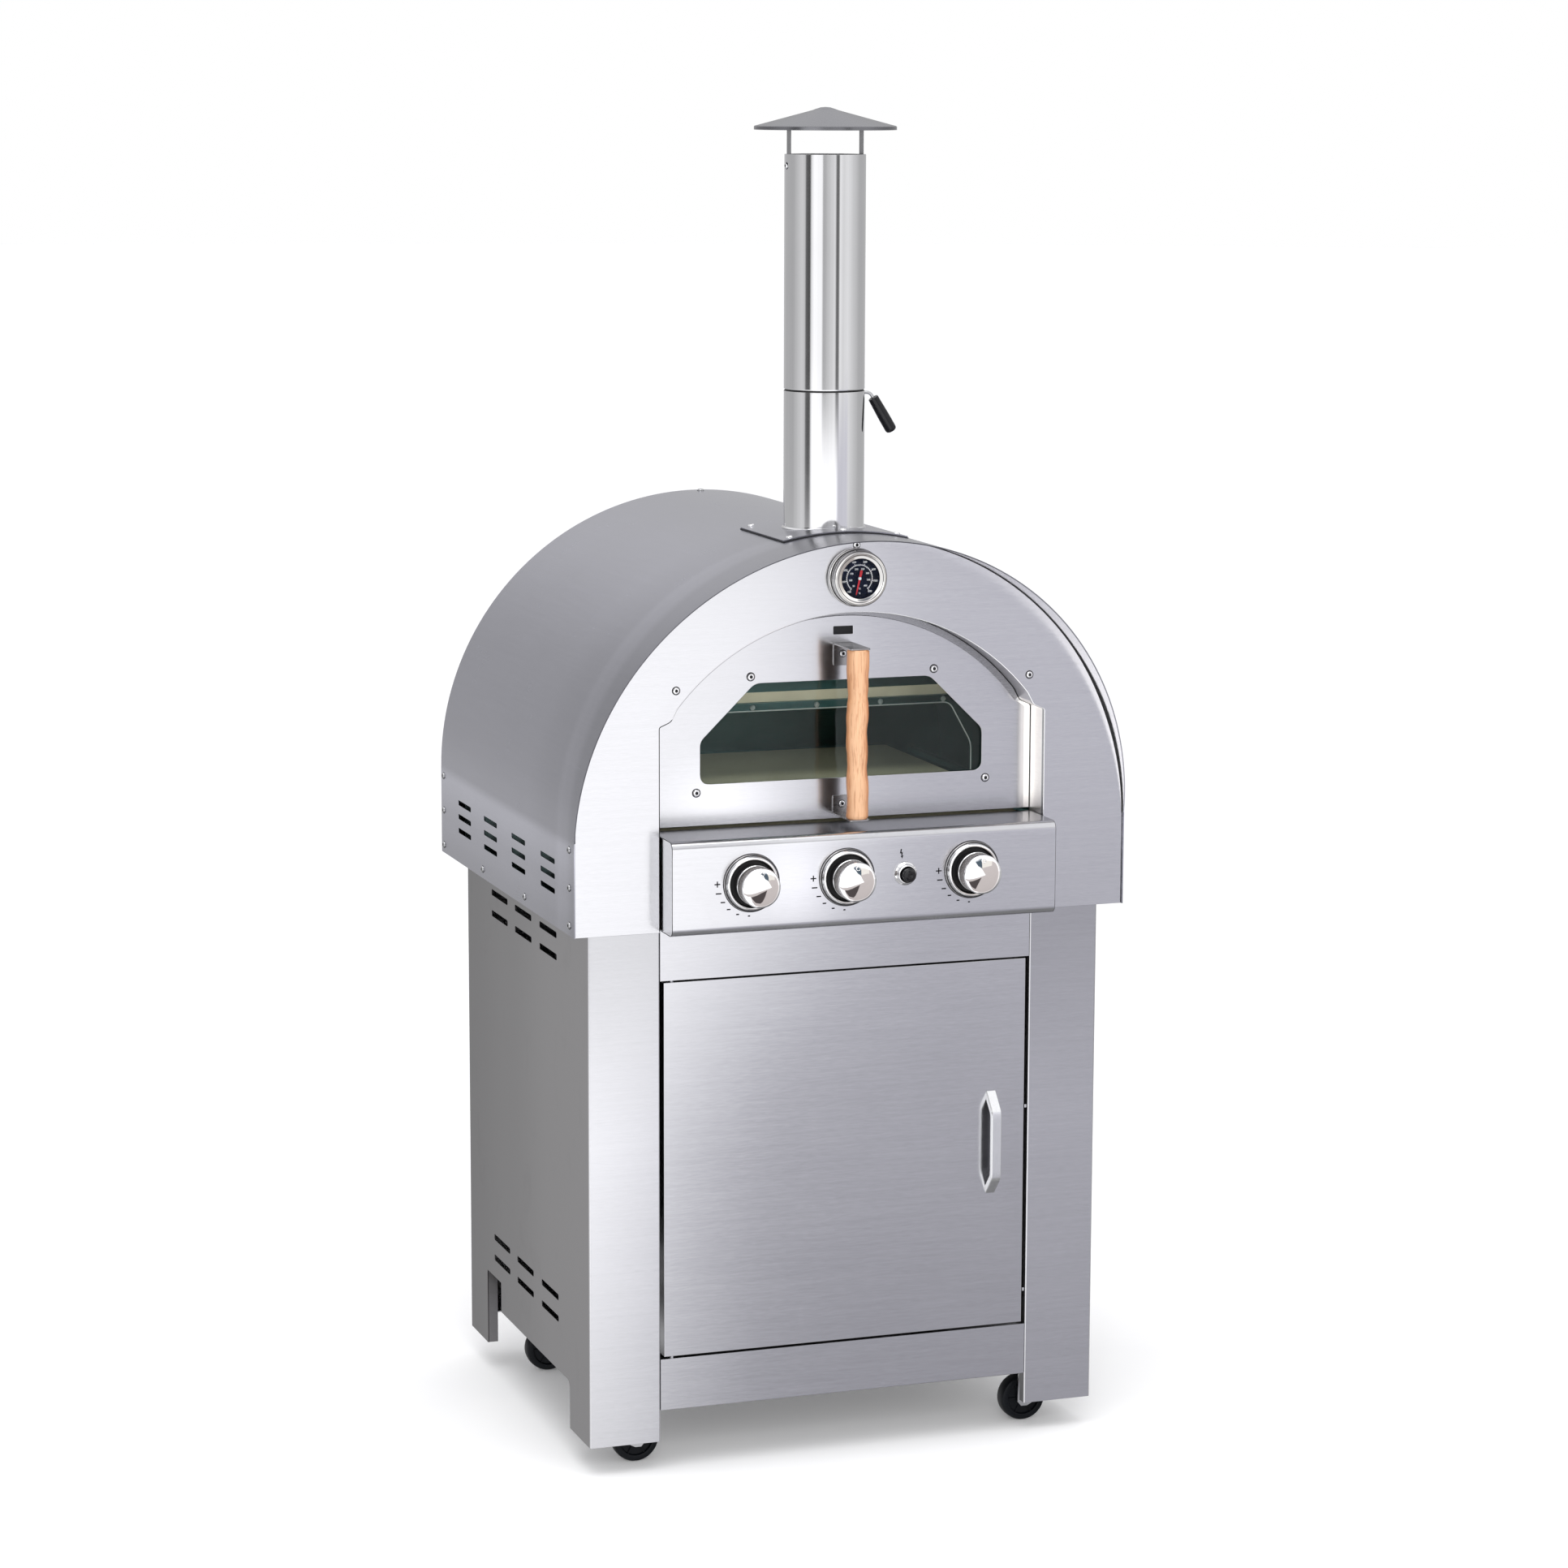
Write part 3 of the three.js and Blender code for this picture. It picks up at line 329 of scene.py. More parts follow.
# painted light: a near-white copy of the steel for the inner face of the hood's overhanging front edge
M_visor_lit = steel("visor_inside_painted_light", (0.98, 0.965, 0.975), 0.20)
M_knurl = polished("knurled_band", (0.26, 0.24, 0.235), 0.22, lines=(300, 300, 300))
M_ring = polished("satin_ring", (0.50, 0.49, 0.49), 0.16, lines=(300, 300, 300))


def wood():
    g = Graph("branch_wood")
    obj = g.coord()
    local = g.mapped(obj, (1, 1, 1), (0.0, (YC + 8) * 0.001, 0))
    warp = g.noise(g.mapped(obj, (26, 26, 9)), 1.0, 3.0, 0.55)
    fibre = g.noise(g.mapped(local, (520, 520, 26)), 1.0, 4.0, 0.6, 0.5)
    band = g.noise(g.mapped(local, (85, 85, 7)), 1.0, 4.0, 0.6, 1.6)
    knot = g.node("ShaderNodeTexVoronoi", feature="F1")
    knot.inputs["Scale"].default_value = 17.0
    g.link(g.mapped(obj, (1.3, 1.3, 0.8), (0.31, 0.12, 0.53)), knot.inputs["Vector"])
    spot = g.span(knot.outputs["Distance"], 0.05, 0.22, 1.0, 0.0, smooth=True)
    c = g.ramp(band, [(0.30, (0.52, 0.205, 0.085)), (0.43, (0.72, 0.345, 0.165)), (0.55, (0.84, 0.47, 0.250)), (0.72, (0.66, 0.300, 0.140))])
    # painted light: the side that faces away from the door is painted paler
    nrm = g.node("ShaderNodeNewGeometry").outputs["Normal"]
    facing = g.node("ShaderNodeVectorMath", operation="DOT_PRODUCT")
    facing.inputs[1].default_value = (-0.30, -0.95, 0.0)
    g.link(nrm, facing.inputs[0])
    front_painted_light = g.span(facing.outputs["Value"], 0.45, 0.98, 0.0, 1.0, smooth=True)
    c = g.mix(g.math("MULTIPLY", front_painted_light, 0.50), c, (0.98, 0.80, 0.56))
    c = g.mix(g.span(fibre, 0.50, 0.68, 0.0, 0.66), c, (0.44, 0.17, 0.060))
    c = g.mix(g.span(warp, 0.40, 0.70, 0.0, 0.30), c, (0.90, 0.58, 0.34))
    c = g.mix(g.math("MULTIPLY", spot, 0.9), c, (0.40, 0.15, 0.050))
    # painted shade: the side that faces the door is painted dark brown
    back = g.span(facing.outputs["Value"], -0.30, 0.25, 1.0, 0.0, smooth=True)
    c = g.mix(g.math("MULTIPLY", back, 0.88), c, (0.035, 0.020, 0.014))
    g.set(Base_Color=c, Roughness=g.span(fibre, 0.3, 0.7, 0.40, 0.56), Coat_Weight=0.18, Coat_Roughness=0.3)
    g.bump(g.math("ADD", fibre, g.math("MULTIPLY", spot, -0.6)), 0.35, 0.0003)
    return g.mat


def stone():
    g = Graph("oven_stone")
    obj = g.coord()
    grit = g.noise(obj, 420.0, 4.0, 0.7)
    blot = g.noise(obj, 9.0, 4.0, 0.6, 0.4)
    c = g.ramp(grit, [(0.32, (0.56, 0.55, 0.43)), (0.50, (0.72, 0.70, 0.55)), (0.68, (0.84, 0.82, 0.67))])
    c = g.mix(g.span(blot, 0.35, 0.7, 0.0, 0.5), c, (0.62, 0.60, 0.47))
    g.set(Base_Color=c, Roughness=g.span(grit, 0.3, 0.7, 0.82, 0.95))
    g.bump(grit, 0.6, 0.0004)
    return g.mat


def glass(name, tint, rough, ior=1.45):
    g = Graph(name)
    obj = g.coord()
    slow = g.noise(obj, 8.0, 3.0, 0.5, 0.3)
    g.set(Base_Color=g.mix(g.span(slow, 0.3, 0.7, 0.0, 1.0), scaled(tint, 0.93), scaled(tint, 1.07)),
          Roughness=g.span(slow, 0.3, 0.7, rough * 0.6, rough * 1.4))
    g.set(Transmission_Weight=1.0, IOR=ior)
    return g.mat


M_wood, M_stone = wood(), stone()
M_glass = glass("tinted_oven_glass", (0.755, 0.845, 0.835), 0.012)
M_lens = glass("dial_lens", (0.95, 0.96, 0.97), 0.008, 1.16)


def toned(mat, tint=(1, 1, 1), axis=None, run=(0, 1), gain=(1, 1), placed=False):
    """Multiplies a material's colour by a tint, and by a gain that runs along one axis, of the shared frame where placed is set."""
    tree = mat.node_tree
    shader = next(n for n in tree.nodes if n.type == "BSDF_PRINCIPLED")
    mul = tree.nodes.new("ShaderNodeVectorMath")
    mul.operation = "MULTIPLY"
    mul.inputs[1].default_value = tint
    tree.links.new(shader.inputs["Base Color"].links[0].from_socket, mul.inputs[0])
    out = mul.outputs[0]
    if axis:
        kinds = ("ShaderNodeNewGeometry" if placed else "ShaderNodeTexCoord", "ShaderNodeSeparateXYZ", "ShaderNodeMapRange", "ShaderNodeVectorMath")
        tc, sp, mr, sc = (tree.nodes.new(k) for k in kinds)
        sc.operation = "SCALE"
        mr.inputs["From Min"].default_value, mr.inputs["From Max"].default_value = run
        mr.inputs["To Min"].default_value, mr.inputs["To Max"].default_value = gain
        tree.links.new(tc.outputs["Position" if placed else "Object"], sp.inputs[0])
        tree.links.new(sp.outputs[axis], mr.inputs["Value"])
        tree.links.new(out, sc.inputs[0])
        tree.links.new(mr.outputs["Result"], sc.inputs["Scale"])
        out = sc.outputs[0]
    tree.links.new(out, shader.inputs["Base Color"])


def painted_light_patch(mat, centre, radius, gain):
    """A soft round patch of painted light or shade: lighter or darker steel around a point of the shared frame."""
    tree = mat.node_tree
    shader = next(n for n in tree.nodes if n.type == "BSDF_PRINCIPLED")
    tc, far, mr, sc = (tree.nodes.new(k) for k in ("ShaderNodeTexCoord", "ShaderNodeVectorMath", "ShaderNodeMapRange", "ShaderNodeVectorMath"))
    far.operation, sc.operation, mr.interpolation_type = "DISTANCE", "SCALE", "SMOOTHSTEP"
    far.inputs[1].default_value = centre
    mr.inputs["From Max"].default_value = radius
    mr.inputs["To Min"].default_value, mr.inputs["To Max"].default_value = gain, 1.0
    tree.links.new(tc.outputs["Object"], far.inputs[0])
    tree.links.new(far.outputs["Value"], mr.inputs["Value"])
    tree.links.new(shader.inputs["Base Color"].links[0].from_socket, sc.inputs[0])
    tree.links.new(mr.outputs["Result"], sc.inputs["Scale"])
    tree.links.new(sc.outputs[0], shader.inputs["Base Color"])


# painted light: a lighter patch low on the door's left and one on the panel between the left and middle knobs
painted_light_patch(M_door, (-0.150, -0.224, 0.806), 0.125, 1.30)
painted_light_patch(M_panel, (-0.085, -0.313, 0.752), 0.085, 1.28)
toned(M_stone, (0.52, 0.495, 0.445))
toned(M_wood, (0.82, 0.71, 0.65))
toned(M_liner, (0.90, 1.36, 1.48), "Z", (0.912, 0.945), (1.0, 0.40), True)
# painted shade: the legs' colour darkens towards their tops, under the hood's overhang
toned(M_leg, (1, 1, 1), "Z", (0.42, 0.66), (1.06, 0.80))
# painted shade: the sides' colour darkens further towards the back
toned(M_side_shaded, (1, 1, 1), "Y", (-0.20, 0.28), (1.04, 0.84))


# ---------------------------------------------------------------- mesh tools
def default_uv(co, n):
    return (co.x, co.y) if abs(n.z) > 0.7 else (co.x + co.y, co.z)


class Build:
    """Collects faces in millimetres of the build coordinates, then makes one object in the shared frame."""

    def __init__(self):
        self.v, self.f, self.m = [], [], []

    def add(self, verts, faces, mat=0):
        k = len(self.v)
        self.v += [tuple(q) for q in verts]
        self.f += [tuple(k + i for i in fc) for fc in faces]
        self.m += [mat] * len(faces)
        return self

    def grid(self, rows, mat=0, wrap=False, cap=False):
        """rows of equal length joined by quads; wrap closes each row, cap fills the first and last row"""
        n, k = len(rows[0]), len(self.v)
        for row in rows:
            self.v += [tuple(q) for q in row]
        for i in range(len(rows) - 1):
            for j in range(n if wrap else n - 1):
                j2 = (j + 1) % n
                self.f.append((k + i * n + j, k + i * n + j2, k + (i + 1) * n + j2, k + (i + 1) * n + j))
                self.m.append(mat)
        if cap:
            self.f.append(tuple(k + j for j in range(n))[::-1])
            self.f.append(tuple(k + (len(rows) - 1) * n + j for j in range(n)))
            self.m += [mat, mat]
        return self

    def lathe(self, prof, origin, axis, seg=64, mat=0, mats=None, radial=None):
        """prof is [(radius, along)]; radius 0 closes on the axis; mats gives a material per profile step"""
        o, ax = Vector(origin), Vector(axis).normalized()
        s = Vector((0, 0, 1)) if abs(ax.z) < 0.9 else Vector((1, 0, 0))
        e1 = s.cross(ax).normalized()
        e2 = ax.cross(e1)
        k = len(self.v)
        idx = []
        for (rad, h) in prof:
            if rad < 1e-6:
                self.v.append(tuple(o + ax * h))
                idx.append([len(self.v) - 1] * seg)
            else:
                ring = []
                for j in range(seg):
                    t = 2 * PI * j / seg
                    q = rad * (radial(t, h, rad) if radial else 1.0)
                    self.v.append(tuple(o + ax * h + (e1 * math.cos(t) + e2 * math.sin(t)) * q))
                    ring.append(len(self.v) - 1)
                idx.append(ring)
        for i in range(len(prof) - 1):
            for j in range(seg):
                j2 = (j + 1) % seg
                q = [idx[i][j], idx[i][j2], idx[i + 1][j2], idx[i + 1][j]]
                q = [x for n_, x in enumerate(q) if x not in q[:n_]]
                if len(q) > 2:
                    self.f.append(tuple(q))
                    self.m.append(mats[i] if mats else mat)
        return self

    def plate(self, outlines, t, place, bevel=0.25, res=2, mat=0):
        """flat sheet of thickness t with holes and rounded edges; place(u, v, w) puts it in the build coordinates"""
        cu = bpy.data.curves.new("tmp", "CURVE")
        cu.dimensions, cu.fill_mode = "2D", "BOTH"
        cu.extrude, cu.bevel_depth, cu.bevel_resolution, cu.offset = t / 2 - bevel, bevel, res, -bevel
        for o in outlines:
            sp = cu.splines.new("POLY")
            sp.points.add(len(o) - 1)
            for q, (u, v) in zip(sp.points, o):
                q.co = (u, v, 0, 1)
            sp.use_cyclic_u = True
        ob = bpy.data.objects.new("tmp", cu)
        bpy.context.scene.collection.objects.link(ob)
        dg = bpy.context.evaluated_depsgraph_get()
        me = bpy.data.meshes.new_from_object(ob.evaluated_get(dg))
        bpy.data.objects.remove(ob)
        bpy.data.curves.remove(cu)
        bm = bmesh.new()
        bm.from_mesh(me)
        bpy.data.meshes.remove(me)
        bmesh.ops.remove_doubles(bm, verts=bm.verts, dist=0.004)
        bmesh.ops.recalc_face_normals(bm, faces=bm.faces)
        bm.verts.index_update()
        verts = [place(q.co.x, q.co.y, q.co.z) for q in bm.verts]
        faces = [tuple(q.index for q in fc.verts) for fc in bm.faces]
        bm.free()
        return self.add(verts, faces, mat)

    def rbox(self, x0, x1, y0, y1, z0, z1, rad=0.6, seg=2, mat=0, turn=None):
        bm = bmesh.new()
        bmesh.ops.create_cube(bm, size=1.0)
        for q in bm.verts:
            q.co = Vector(((x0 + x1) / 2 + q.co.x * (x1 - x0), (y0 + y1) / 2 + q.co.y * (y1 - y0), (z0 + z1) / 2 + q.co.z * (z1 - z0)))
        if rad:
            bmesh.ops.bevel(bm, geom=list(bm.edges), offset=rad, segments=seg, profile=0.5, affect="EDGES")
        bm.verts.index_update()
        verts = [(turn @ q.co if turn else q.co.copy()) for q in bm.verts]
        faces = [tuple(q.index for q in fc.verts) for fc in bm.faces]
        bm.free()
        return self.add(verts, faces, mat)

    def tube(self, pts, rad, seg=14, mat=0):
        P = [Vector(q) for q in pts]
        rows, n0 = [], None
        for i, q in enumerate(P):
            d = (P[min(i + 1, len(P) - 1)] - P[max(i - 1, 0)]).normalized()
            if n0 is None:
                n0 = d.orthogonal().normalized()
            n0 = (n0 - d * n0.dot(d)).normalized()
            b = d.cross(n0)
            rows.append([q + (n0 * math.cos(2 * PI * j / seg) + b * math.sin(2 * PI * j / seg)) * rad for j in range(seg)])
        return self.grid(rows, mat, wrap=True, cap=True)

    def make(self, name, mats, body=OVEN, replaces=(), sharp=35.0, uv=default_uv, solid=True, weighted=True):
        bm = bmesh.new()
        vs = [bm.verts.new(W(*q)) for q in self.v]
        for fc, mi in zip(self.f, self.m):
            try:
                f = bm.faces.new([vs[i] for i in fc])
            except ValueError:
                continue
            f.material_index = mi
            f.smooth = True
        if solid:
            bmesh.ops.recalc_face_normals(bm, faces=bm.faces)
        lay = bm.loops.layers.uv.new("UVMap")
        bm.normal_update()
        for f in bm.faces:
            for lp in f.loops:
                lp[lay].uv = uv(lp.vert.co, f.normal)
        me = bpy.data.meshes.new(name)
        bm.to_mesh(me)
        bm.free()
        for q in (mats if isinstance(mats, (list, tuple)) else [mats]):
            me.materials.append(q)
        me.set_sharp_from_angle(angle=math.radians(sharp))
        ob = bpy.data.objects.new(name, me)
        bpy.context.scene.collection.objects.link(ob)
        if weighted:
            wn = ob.modifiers.new("weighted", "WEIGHTED_NORMAL")
            wn.mode, wn.keep_sharp = "FACE_AREA", True
        if replaces:
            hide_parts(*replaces)
        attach(ob, body)
        return ob


def XZ(y0):  # outline in X-Z, thickness along Y, front face at y0 - t/2 when centred
    return lambda u, v, w: (u, y0 + w, v)


def YZ(x0):
    return lambda u, v, w: (x0 + w, u, v)


def XY(z0):
    return lambda u, v, w: (u, v, z0 + w)


def arc(cx, cz, rad, a0, a1, n):
    return [(cx + rad * math.cos(a0 + (a1 - a0) * i / n), cz + rad * math.sin(a0 + (a1 - a0) * i / n)) for i in range(n + 1)]


def rrect(uc, vc, w, h, rad, n=5):
    x, y = w / 2 - rad, h / 2 - rad
    out = []
    for sx, sy, s0 in ((1, 1, 0), (-1, 1, PI / 2), (-1, -1, PI), (1, -1, 1.5 * PI)):
        out += arc(uc + sx * x, vc + sy * y, rad, s0, s0 + PI / 2, n)
    return out


def rounded(pts, rad, n=5):
    """polygon with its corners rounded; rad is one number or one per corner"""
    out = []
    for i, q in enumerate(pts):
        rr = rad[i] if isinstance(rad, (list, tuple)) else rad
        a_, b_ = Vector(pts[i - 1]) - Vector(q), Vector(pts[(i + 1) % len(pts)]) - Vector(q)
        if rr <= 0:
            out.append(tuple(q))
            continue
        c = min(rr, a_.length * 0.45, b_.length * 0.45)
        p0, p1 = Vector(q) + a_.normalized() * c, Vector(q) + b_.normalized() * c
        for k in range(n + 1):
            t = k / n
            out.append(tuple(p0 * (1 - t) ** 2 + Vector(q) * 2 * t * (1 - t) + p1 * t * t))
    return out


def circle(cx, cz, rad, n=40):
    return arc(cx, cz, rad, 0, 2 * PI * (n - 1) / n, n - 1)


def screw(b, pos, nrm, rad=4.35, high=2.3, mat=0, dark=1, seg=28, turn=0.3):
    """button-head socket screw: domed head with a hexagonal recess"""
    n_ = Vector(nrm).normalized()
    prof = [(0, -0.6), (rad, -0.6), (rad, 0.25)]
    for i in range(1, 7):
        t = i / 6 * 1.02
        prof.append((rad * math.cos(t * 0.93), 0.25 + (high - 0.25) * math.sin(t * PI / 2 / 1.02)))
    ri = rad * 0.46
    prof = [q for q in prof if q[0] > ri + 0.4 or q[1] < 0.3]
    prof += [(ri + 0.25, high), (ri, high - 0.15), (ri * 0.97, high - 1.3), (0, high - 1.45)]
    # painted shade: the socket's inside and a disc a little wider than the head, under it, take the dark material
    mats = [mat] * (len(prof) - 1)
    mats[-1] = mats[-2] = dark
    hexa = lambda t, h, q: (1.0 if q > ri * 1.2 else math.cos(PI / 6) / math.cos(((t + turn) % (PI / 3)) - PI / 6) * 1.06)
    b.lathe(prof, pos, n_, seg, mats=mats, radial=hexa)
    b.lathe([(0, -0.5), (rad + 0.55, -0.5), (rad + 0.55, 0.10), (0, 0.12)], pos, n_, seg, mat=dark)


# ---------------------------------------------------------------- oven hood
HR, HZC, HY0, HY1 = 360.0, ZB + 116, 2.4, 622.0


def hood_uv(co, n):
    x, z = abs(co.x) * 1000, co.z * 1000 - HZC
    s = HR * math.atan2(z, x) if z > 0 else z
    return (co.y, s * 0.001)


VIS_Y, VIS_LEAN = -3.0, 0.155


def front_y(z):
    # the front edge stands proud of the fascia, more and more towards the crown
    return VIS_Y - VIS_LEAN * max(0.0, z - HZC)


b = Build()
rows, mats = [], []
for i in range(97):
    t = PI * i / 96
    c, s = math.cos(t), math.sin(t)
    row = []
    for q, y in ((358.5, 60.0), (358.5, 0.7), (359.7, 0.0), (HR, 0.5), (HR, 200), (HR, 410), (HR, HY1 - 0.5), (359.7, HY1), (358.5, HY1 - 0.2)):
        z = HZC + q * s
        row.append((q * c, y if y > 50 else front_y(z) + y + 0.0, z))
    rows.append(row)
b.grid(rows, wrap=True)
n_ = len(rows[0])
# painted light: the faces of the overhanging front edge take the near-white visor steel
for i, fc in enumerate(b.f):
    cols = sorted({j % n_ for j in fc})
    if cols == [0, 1]:
        b.m[i] = 1
for s in (-1, 1):
    holes = [rrect(yc, ZB + z, 63, 6.6, 2.3) for yc in (503, 376, 244, 111.6) for z in (80.2, 61.7, 43.2)]
    b.plate([[(VIS_Y, ZB), (HY1, ZB), (HY1, HZC + 0.2), (VIS_Y, HZC + 0.2)], *holes], 1.5, YZ(s * 359.25), 0.2, 2)
    b.rbox(min(s * 346, s * 359), max(s * 346, s * 359), HY0 + 1, HY1 - 1, ZB + 0.1, ZB + 1.6, 0.3)
hood = b.make("hood", [M_hood, M_visor_lit], replaces=["hood_shell"], uv=hood_uv)

# screws on the hood: two columns and a bottom row each side, one on the crown at the back
b = Build()
for s in (-1, 1):
    for y, zs in ((609, (104.5, 58, 11)), (18, (105.6, 59, 12.6)), (414, (12,)), (216, (12,))):
        for z in zs:
            screw(b, (s * 360, y, ZB + z), (s, 0, 0), 4.35, 2.1, turn=y)
screw(b, (0, 606, ZB + 476), (0, 0, 1), 4.35, 2.3)
b.make("hood_screws", [M_screwdull, M_recess_shade])


# ---------------------------------------------------------------- front fascia with its mouth and tunnel
FR, FZC = 358.0, ZB + 116
MR, MZC, MH = 293.6, ZB + 89, 251.2
DZ0 = ZB + 121


def mouth(d, z0, n=48):
    rr, h, s = MR + d, MH + d, 228.4 + d * 0.8
    q = math.acos(s / rr)
    ear = rounded([(h, z0), (h, ZB + 252 + d * 0.3), (236.3 + d * 0.6, ZB + 258.3 + d * 0.6), (s, MZC + rr * math.sin(q))], [0, 2.6, 4.0, 0], 5)[1:-1]
    return [(h, z0), *ear, *arc(0, MZC, rr, q, PI - q, n), *[(-u, v) for u, v in reversed(ear)], (-h, z0)]


def front_uv(co, n):
    return (co.x, co.z) if abs(n.y) > 0.5 else (co.y, co.z if abs(n.z) < 0.7 else co.x)


b = Build()
b.plate([[(FR, ZB), (FR, FZC), *arc(0, FZC, FR, 0.02, PI - 0.02, 110), (-FR, FZC), (-FR, ZB), *reversed(mouth(0, ZB))]], 2.0, XZ(1.0), 0.35, 3)
outer, inner = mouth(1.5, ZB + 3.8), mouth(0, ZB + 3.8)
# painted shade: the first few millimetres of the tunnel walls take the darker sheet steel
b.grid([[(u, y, v) for u, v in inner] for y in (1.2, 7.5)], mat=7)
b.grid([[(u, y, v) for u, v in inner] for y in (7.5, 20, 40, 45.0)], mat=1)
b.grid([[(u, 45.0, v) for u, v in inner], [(u, 46.0, v) for u, v in mouth(-1.0, ZB + 3.8)]], mat=3)
b.grid([[(u, y, v) for u, v in outer] for y in (47.5, 40, 20, 1.2)], mat=1)
# stop flange at the back of the tunnel
lip_o, lip_i = mouth(-1.0, DZ0), mouth(-16, DZ0)
b.grid([[(u, 46.0, v) for u, v in lip_o], [(u, 46.0, v) for u, v in lip_i]], mat=2)
b.grid([[(u, 46.0, v) for u, v in lip_i], [(u, 47.5, v) for u, v in lip_i], [(u, 47.5, v) for u, v in mouth(1.5, DZ0)]], mat=2)
# seam between the fascia and the hood, widest low on the right: a black strip of painted shade in the gap
seam = []
for i in range(111):
    t = PI * i / 110
    wd = 0.75 + 1.35 * math.exp(-((math.degrees(t) - 20) / 13.0) ** 2)
    seam.append(((FR + 0.35) * math.cos(t), FZC + (FR + 0.35) * math.sin(t), (FR - wd) * math.cos(t), FZC + (FR - wd) * math.sin(t)))
b.grid([[(q[0], -0.06, q[1]) for q in seam], [(q[2], -0.06, q[3]) for q in seam]], mat=3)
# bright rolled edge round the mouth
b.tube([(u, 0.55, v) for u, v in mouth(0.25, ZB + 2)], 0.75, 10, mat=4)
# painted light and shade by place: down the sides the stop flange is white and the tunnel walls near-white, over the
# arch the flange and walls are darker copies, and down the left side the rolled edge is black as a shadow line
for i, fc in enumerate(b.f):
    side_ = max(b.v[j][2] for j in fc) < ZB + 262
    if b.m[i] == 2 and side_:
        b.m[i] = 5
    elif b.m[i] in (1, 7) and not side_:
        b.m[i] = 6
    elif b.m[i] == 4 and side_ and max(b.v[j][0] for j in fc) < 0:
        b.m[i] = 3
b.make("fascia", [M_front, M_tunnel_lit, M_stop_shade, M_recess_shade, M_edge, M_stopside_lit, M_arch_shade, M_sheet_shade], replaces=["front_fascia"], uv=front_uv, solid=True)

b = Build()
for x, z in ((-230, 296), (230, 296), (0.7, 465)):
    screw(b, (x, 0, ZB + z), (0, -1, 0), 4.35, 2.2, turn=x)
# painted shadow: a thin black ring round each screw head
for x, z in ((-230, 296), (230, 296)):
    b.lathe([(3.8, 0.02), (5.3, 0.02), (5.3, 0.14), (3.8, 0.14), (3.8, 0.02)], (x, 0, ZB + z), (0, -1, 0), 32, mat=1)
b.make("fascia_screws", [M_screw, M_recess_shade])

# ---------------------------------------------------------------- oven door
DY, DH, DR = 44.0, 242.0, 284.6


def door_path(d, dz=None, n=48):
    rr, h, s = DR - d, DH - d, 228 - d * 0.8
    q = math.acos(s / rr)
    z0, z1 = DZ0 + (d if dz is None else dz), ZB + 250 - d * 0.8
    return [(h, z0), (h, z1), *arc(0, MZC, rr, q, PI - q, n), (-h, z1), (-h, z0)]


def window_path(d, c=8.0):
    zt, zs, zb, w, t = ZB + 294 + d, ZB + 225 + d * 0.41, ZB + 172 - d, 185 + d, 114.5 + d * 0.41
    return rounded([(t, zt), (-t, zt), (-w, zs), (-w, zb), (w, zb), (w, zs)], [c, c, c * 0.8, c * 1.6, c * 1.6, c * 0.8], 6)


b = Build()
b.plate([rounded(door_path(0), [2] + [0] * (len(door_path(0)) - 2) + [2]), window_path(0), rrect(0, ZB + 355.4, 25.4, 9.8, 0.8, 2)], 1.6, XZ(DY + 0.8), 0.45, 3)
o_, i_ = door_path(9, 0.5), door_path(10.5, 2.0)
b.grid([[(u, DY + 1.5, v) for u, v in o_], [(u, DY + 13, v) for u, v in o_], [(u, DY + 13, v) for u, v in i_], [(u, DY + 1.5, v) for u, v in i_]], wrap=True)
b.make("oven_door_panel", M_door, "oven_door", ["door_panel"], uv=front_uv)

b = Build()
b.rbox(-19, 19, DY + 2.0, DY + 3.2, ZB + 349, ZB + 362, 0.4)
b.make("door_slot_shutter", M_gasket, "oven_door")

b = Build()
b.plate([window_path(11)], 4.0, XZ(DY + 3.8), 0.6, 2)
b.make("oven_door_glass", M_glass, "oven_door", ["door_glass"])

b = Build()
for x, z in ((-120, 302.5), (120, 302.5), (-190, 162), (190, 162)):
    screw(b, (x, DY, ZB + z), (0, -1, 0), 4.7, 2.6, turn=x)
# painted shadow: a thin black ring round each screw head
for x, z in ((-120, 302.5), (120, 302.5), (-190, 162), (190, 162)):
    b.lathe([(4.0, 0.02), (5.6, 0.02), (5.6, 0.14), (4.0, 0.14), (4.0, 0.02)], (x, DY, ZB + z), (0, -1, 0), 32, mat=1)
screw(b, (-1, 41.9, ZB + 326.7), (0, -1, 0), 4.3, 2.2)
screw(b, (-1.3, 41.9, ZB + 139.4), (0, -1, 0), 4.3, 2.2, turn=1)
b.make("oven_door_screws", [M_screw, M_recess_shade], "oven_door")

# handle brackets: thin angle pieces, one leaf on the door and one under or over the grip
HZ0, HZ1, HY = ZB + 129, ZB + 338, -8.0
for nm, zlo, zhi, zl in (("upper", ZB + 312, HZ1 + 2.0, HZ1 + 1.15), ("lower", HZ0 - 2.0, ZB + 150, HZ0 - 1.15)):
    b = Build()
    b.plate([rrect(0, (zlo + zhi) / 2, 26, zhi - zlo, 2.0, 4)], 1.7, XZ(DY - 1.15), 0.25)
    b.plate([rrect(0, (-19 + 43.6) / 2, 26, 43.6 + 19, 2.5, 4)], 1.7, XY(zl), 0.25)
    b.make("handle_bracket_%s_plate" % nm, M_bracket, "oven_door", ["handle_bracket_" + nm])

# wooden grip: a peeled branch with soft swellings
prof = [(0.0, 13.6), (0.10, 13.3), (0.21, 13.9), (0.315, 12.0), (0.35, 12.6), (0.43, 13.5), (0.52, 12.7), (0.60, 13.7), (0.665, 13.2), (0.725, 11.9), (0.80, 13.2), (0.90, 13.9), (1.0, 13.7)]


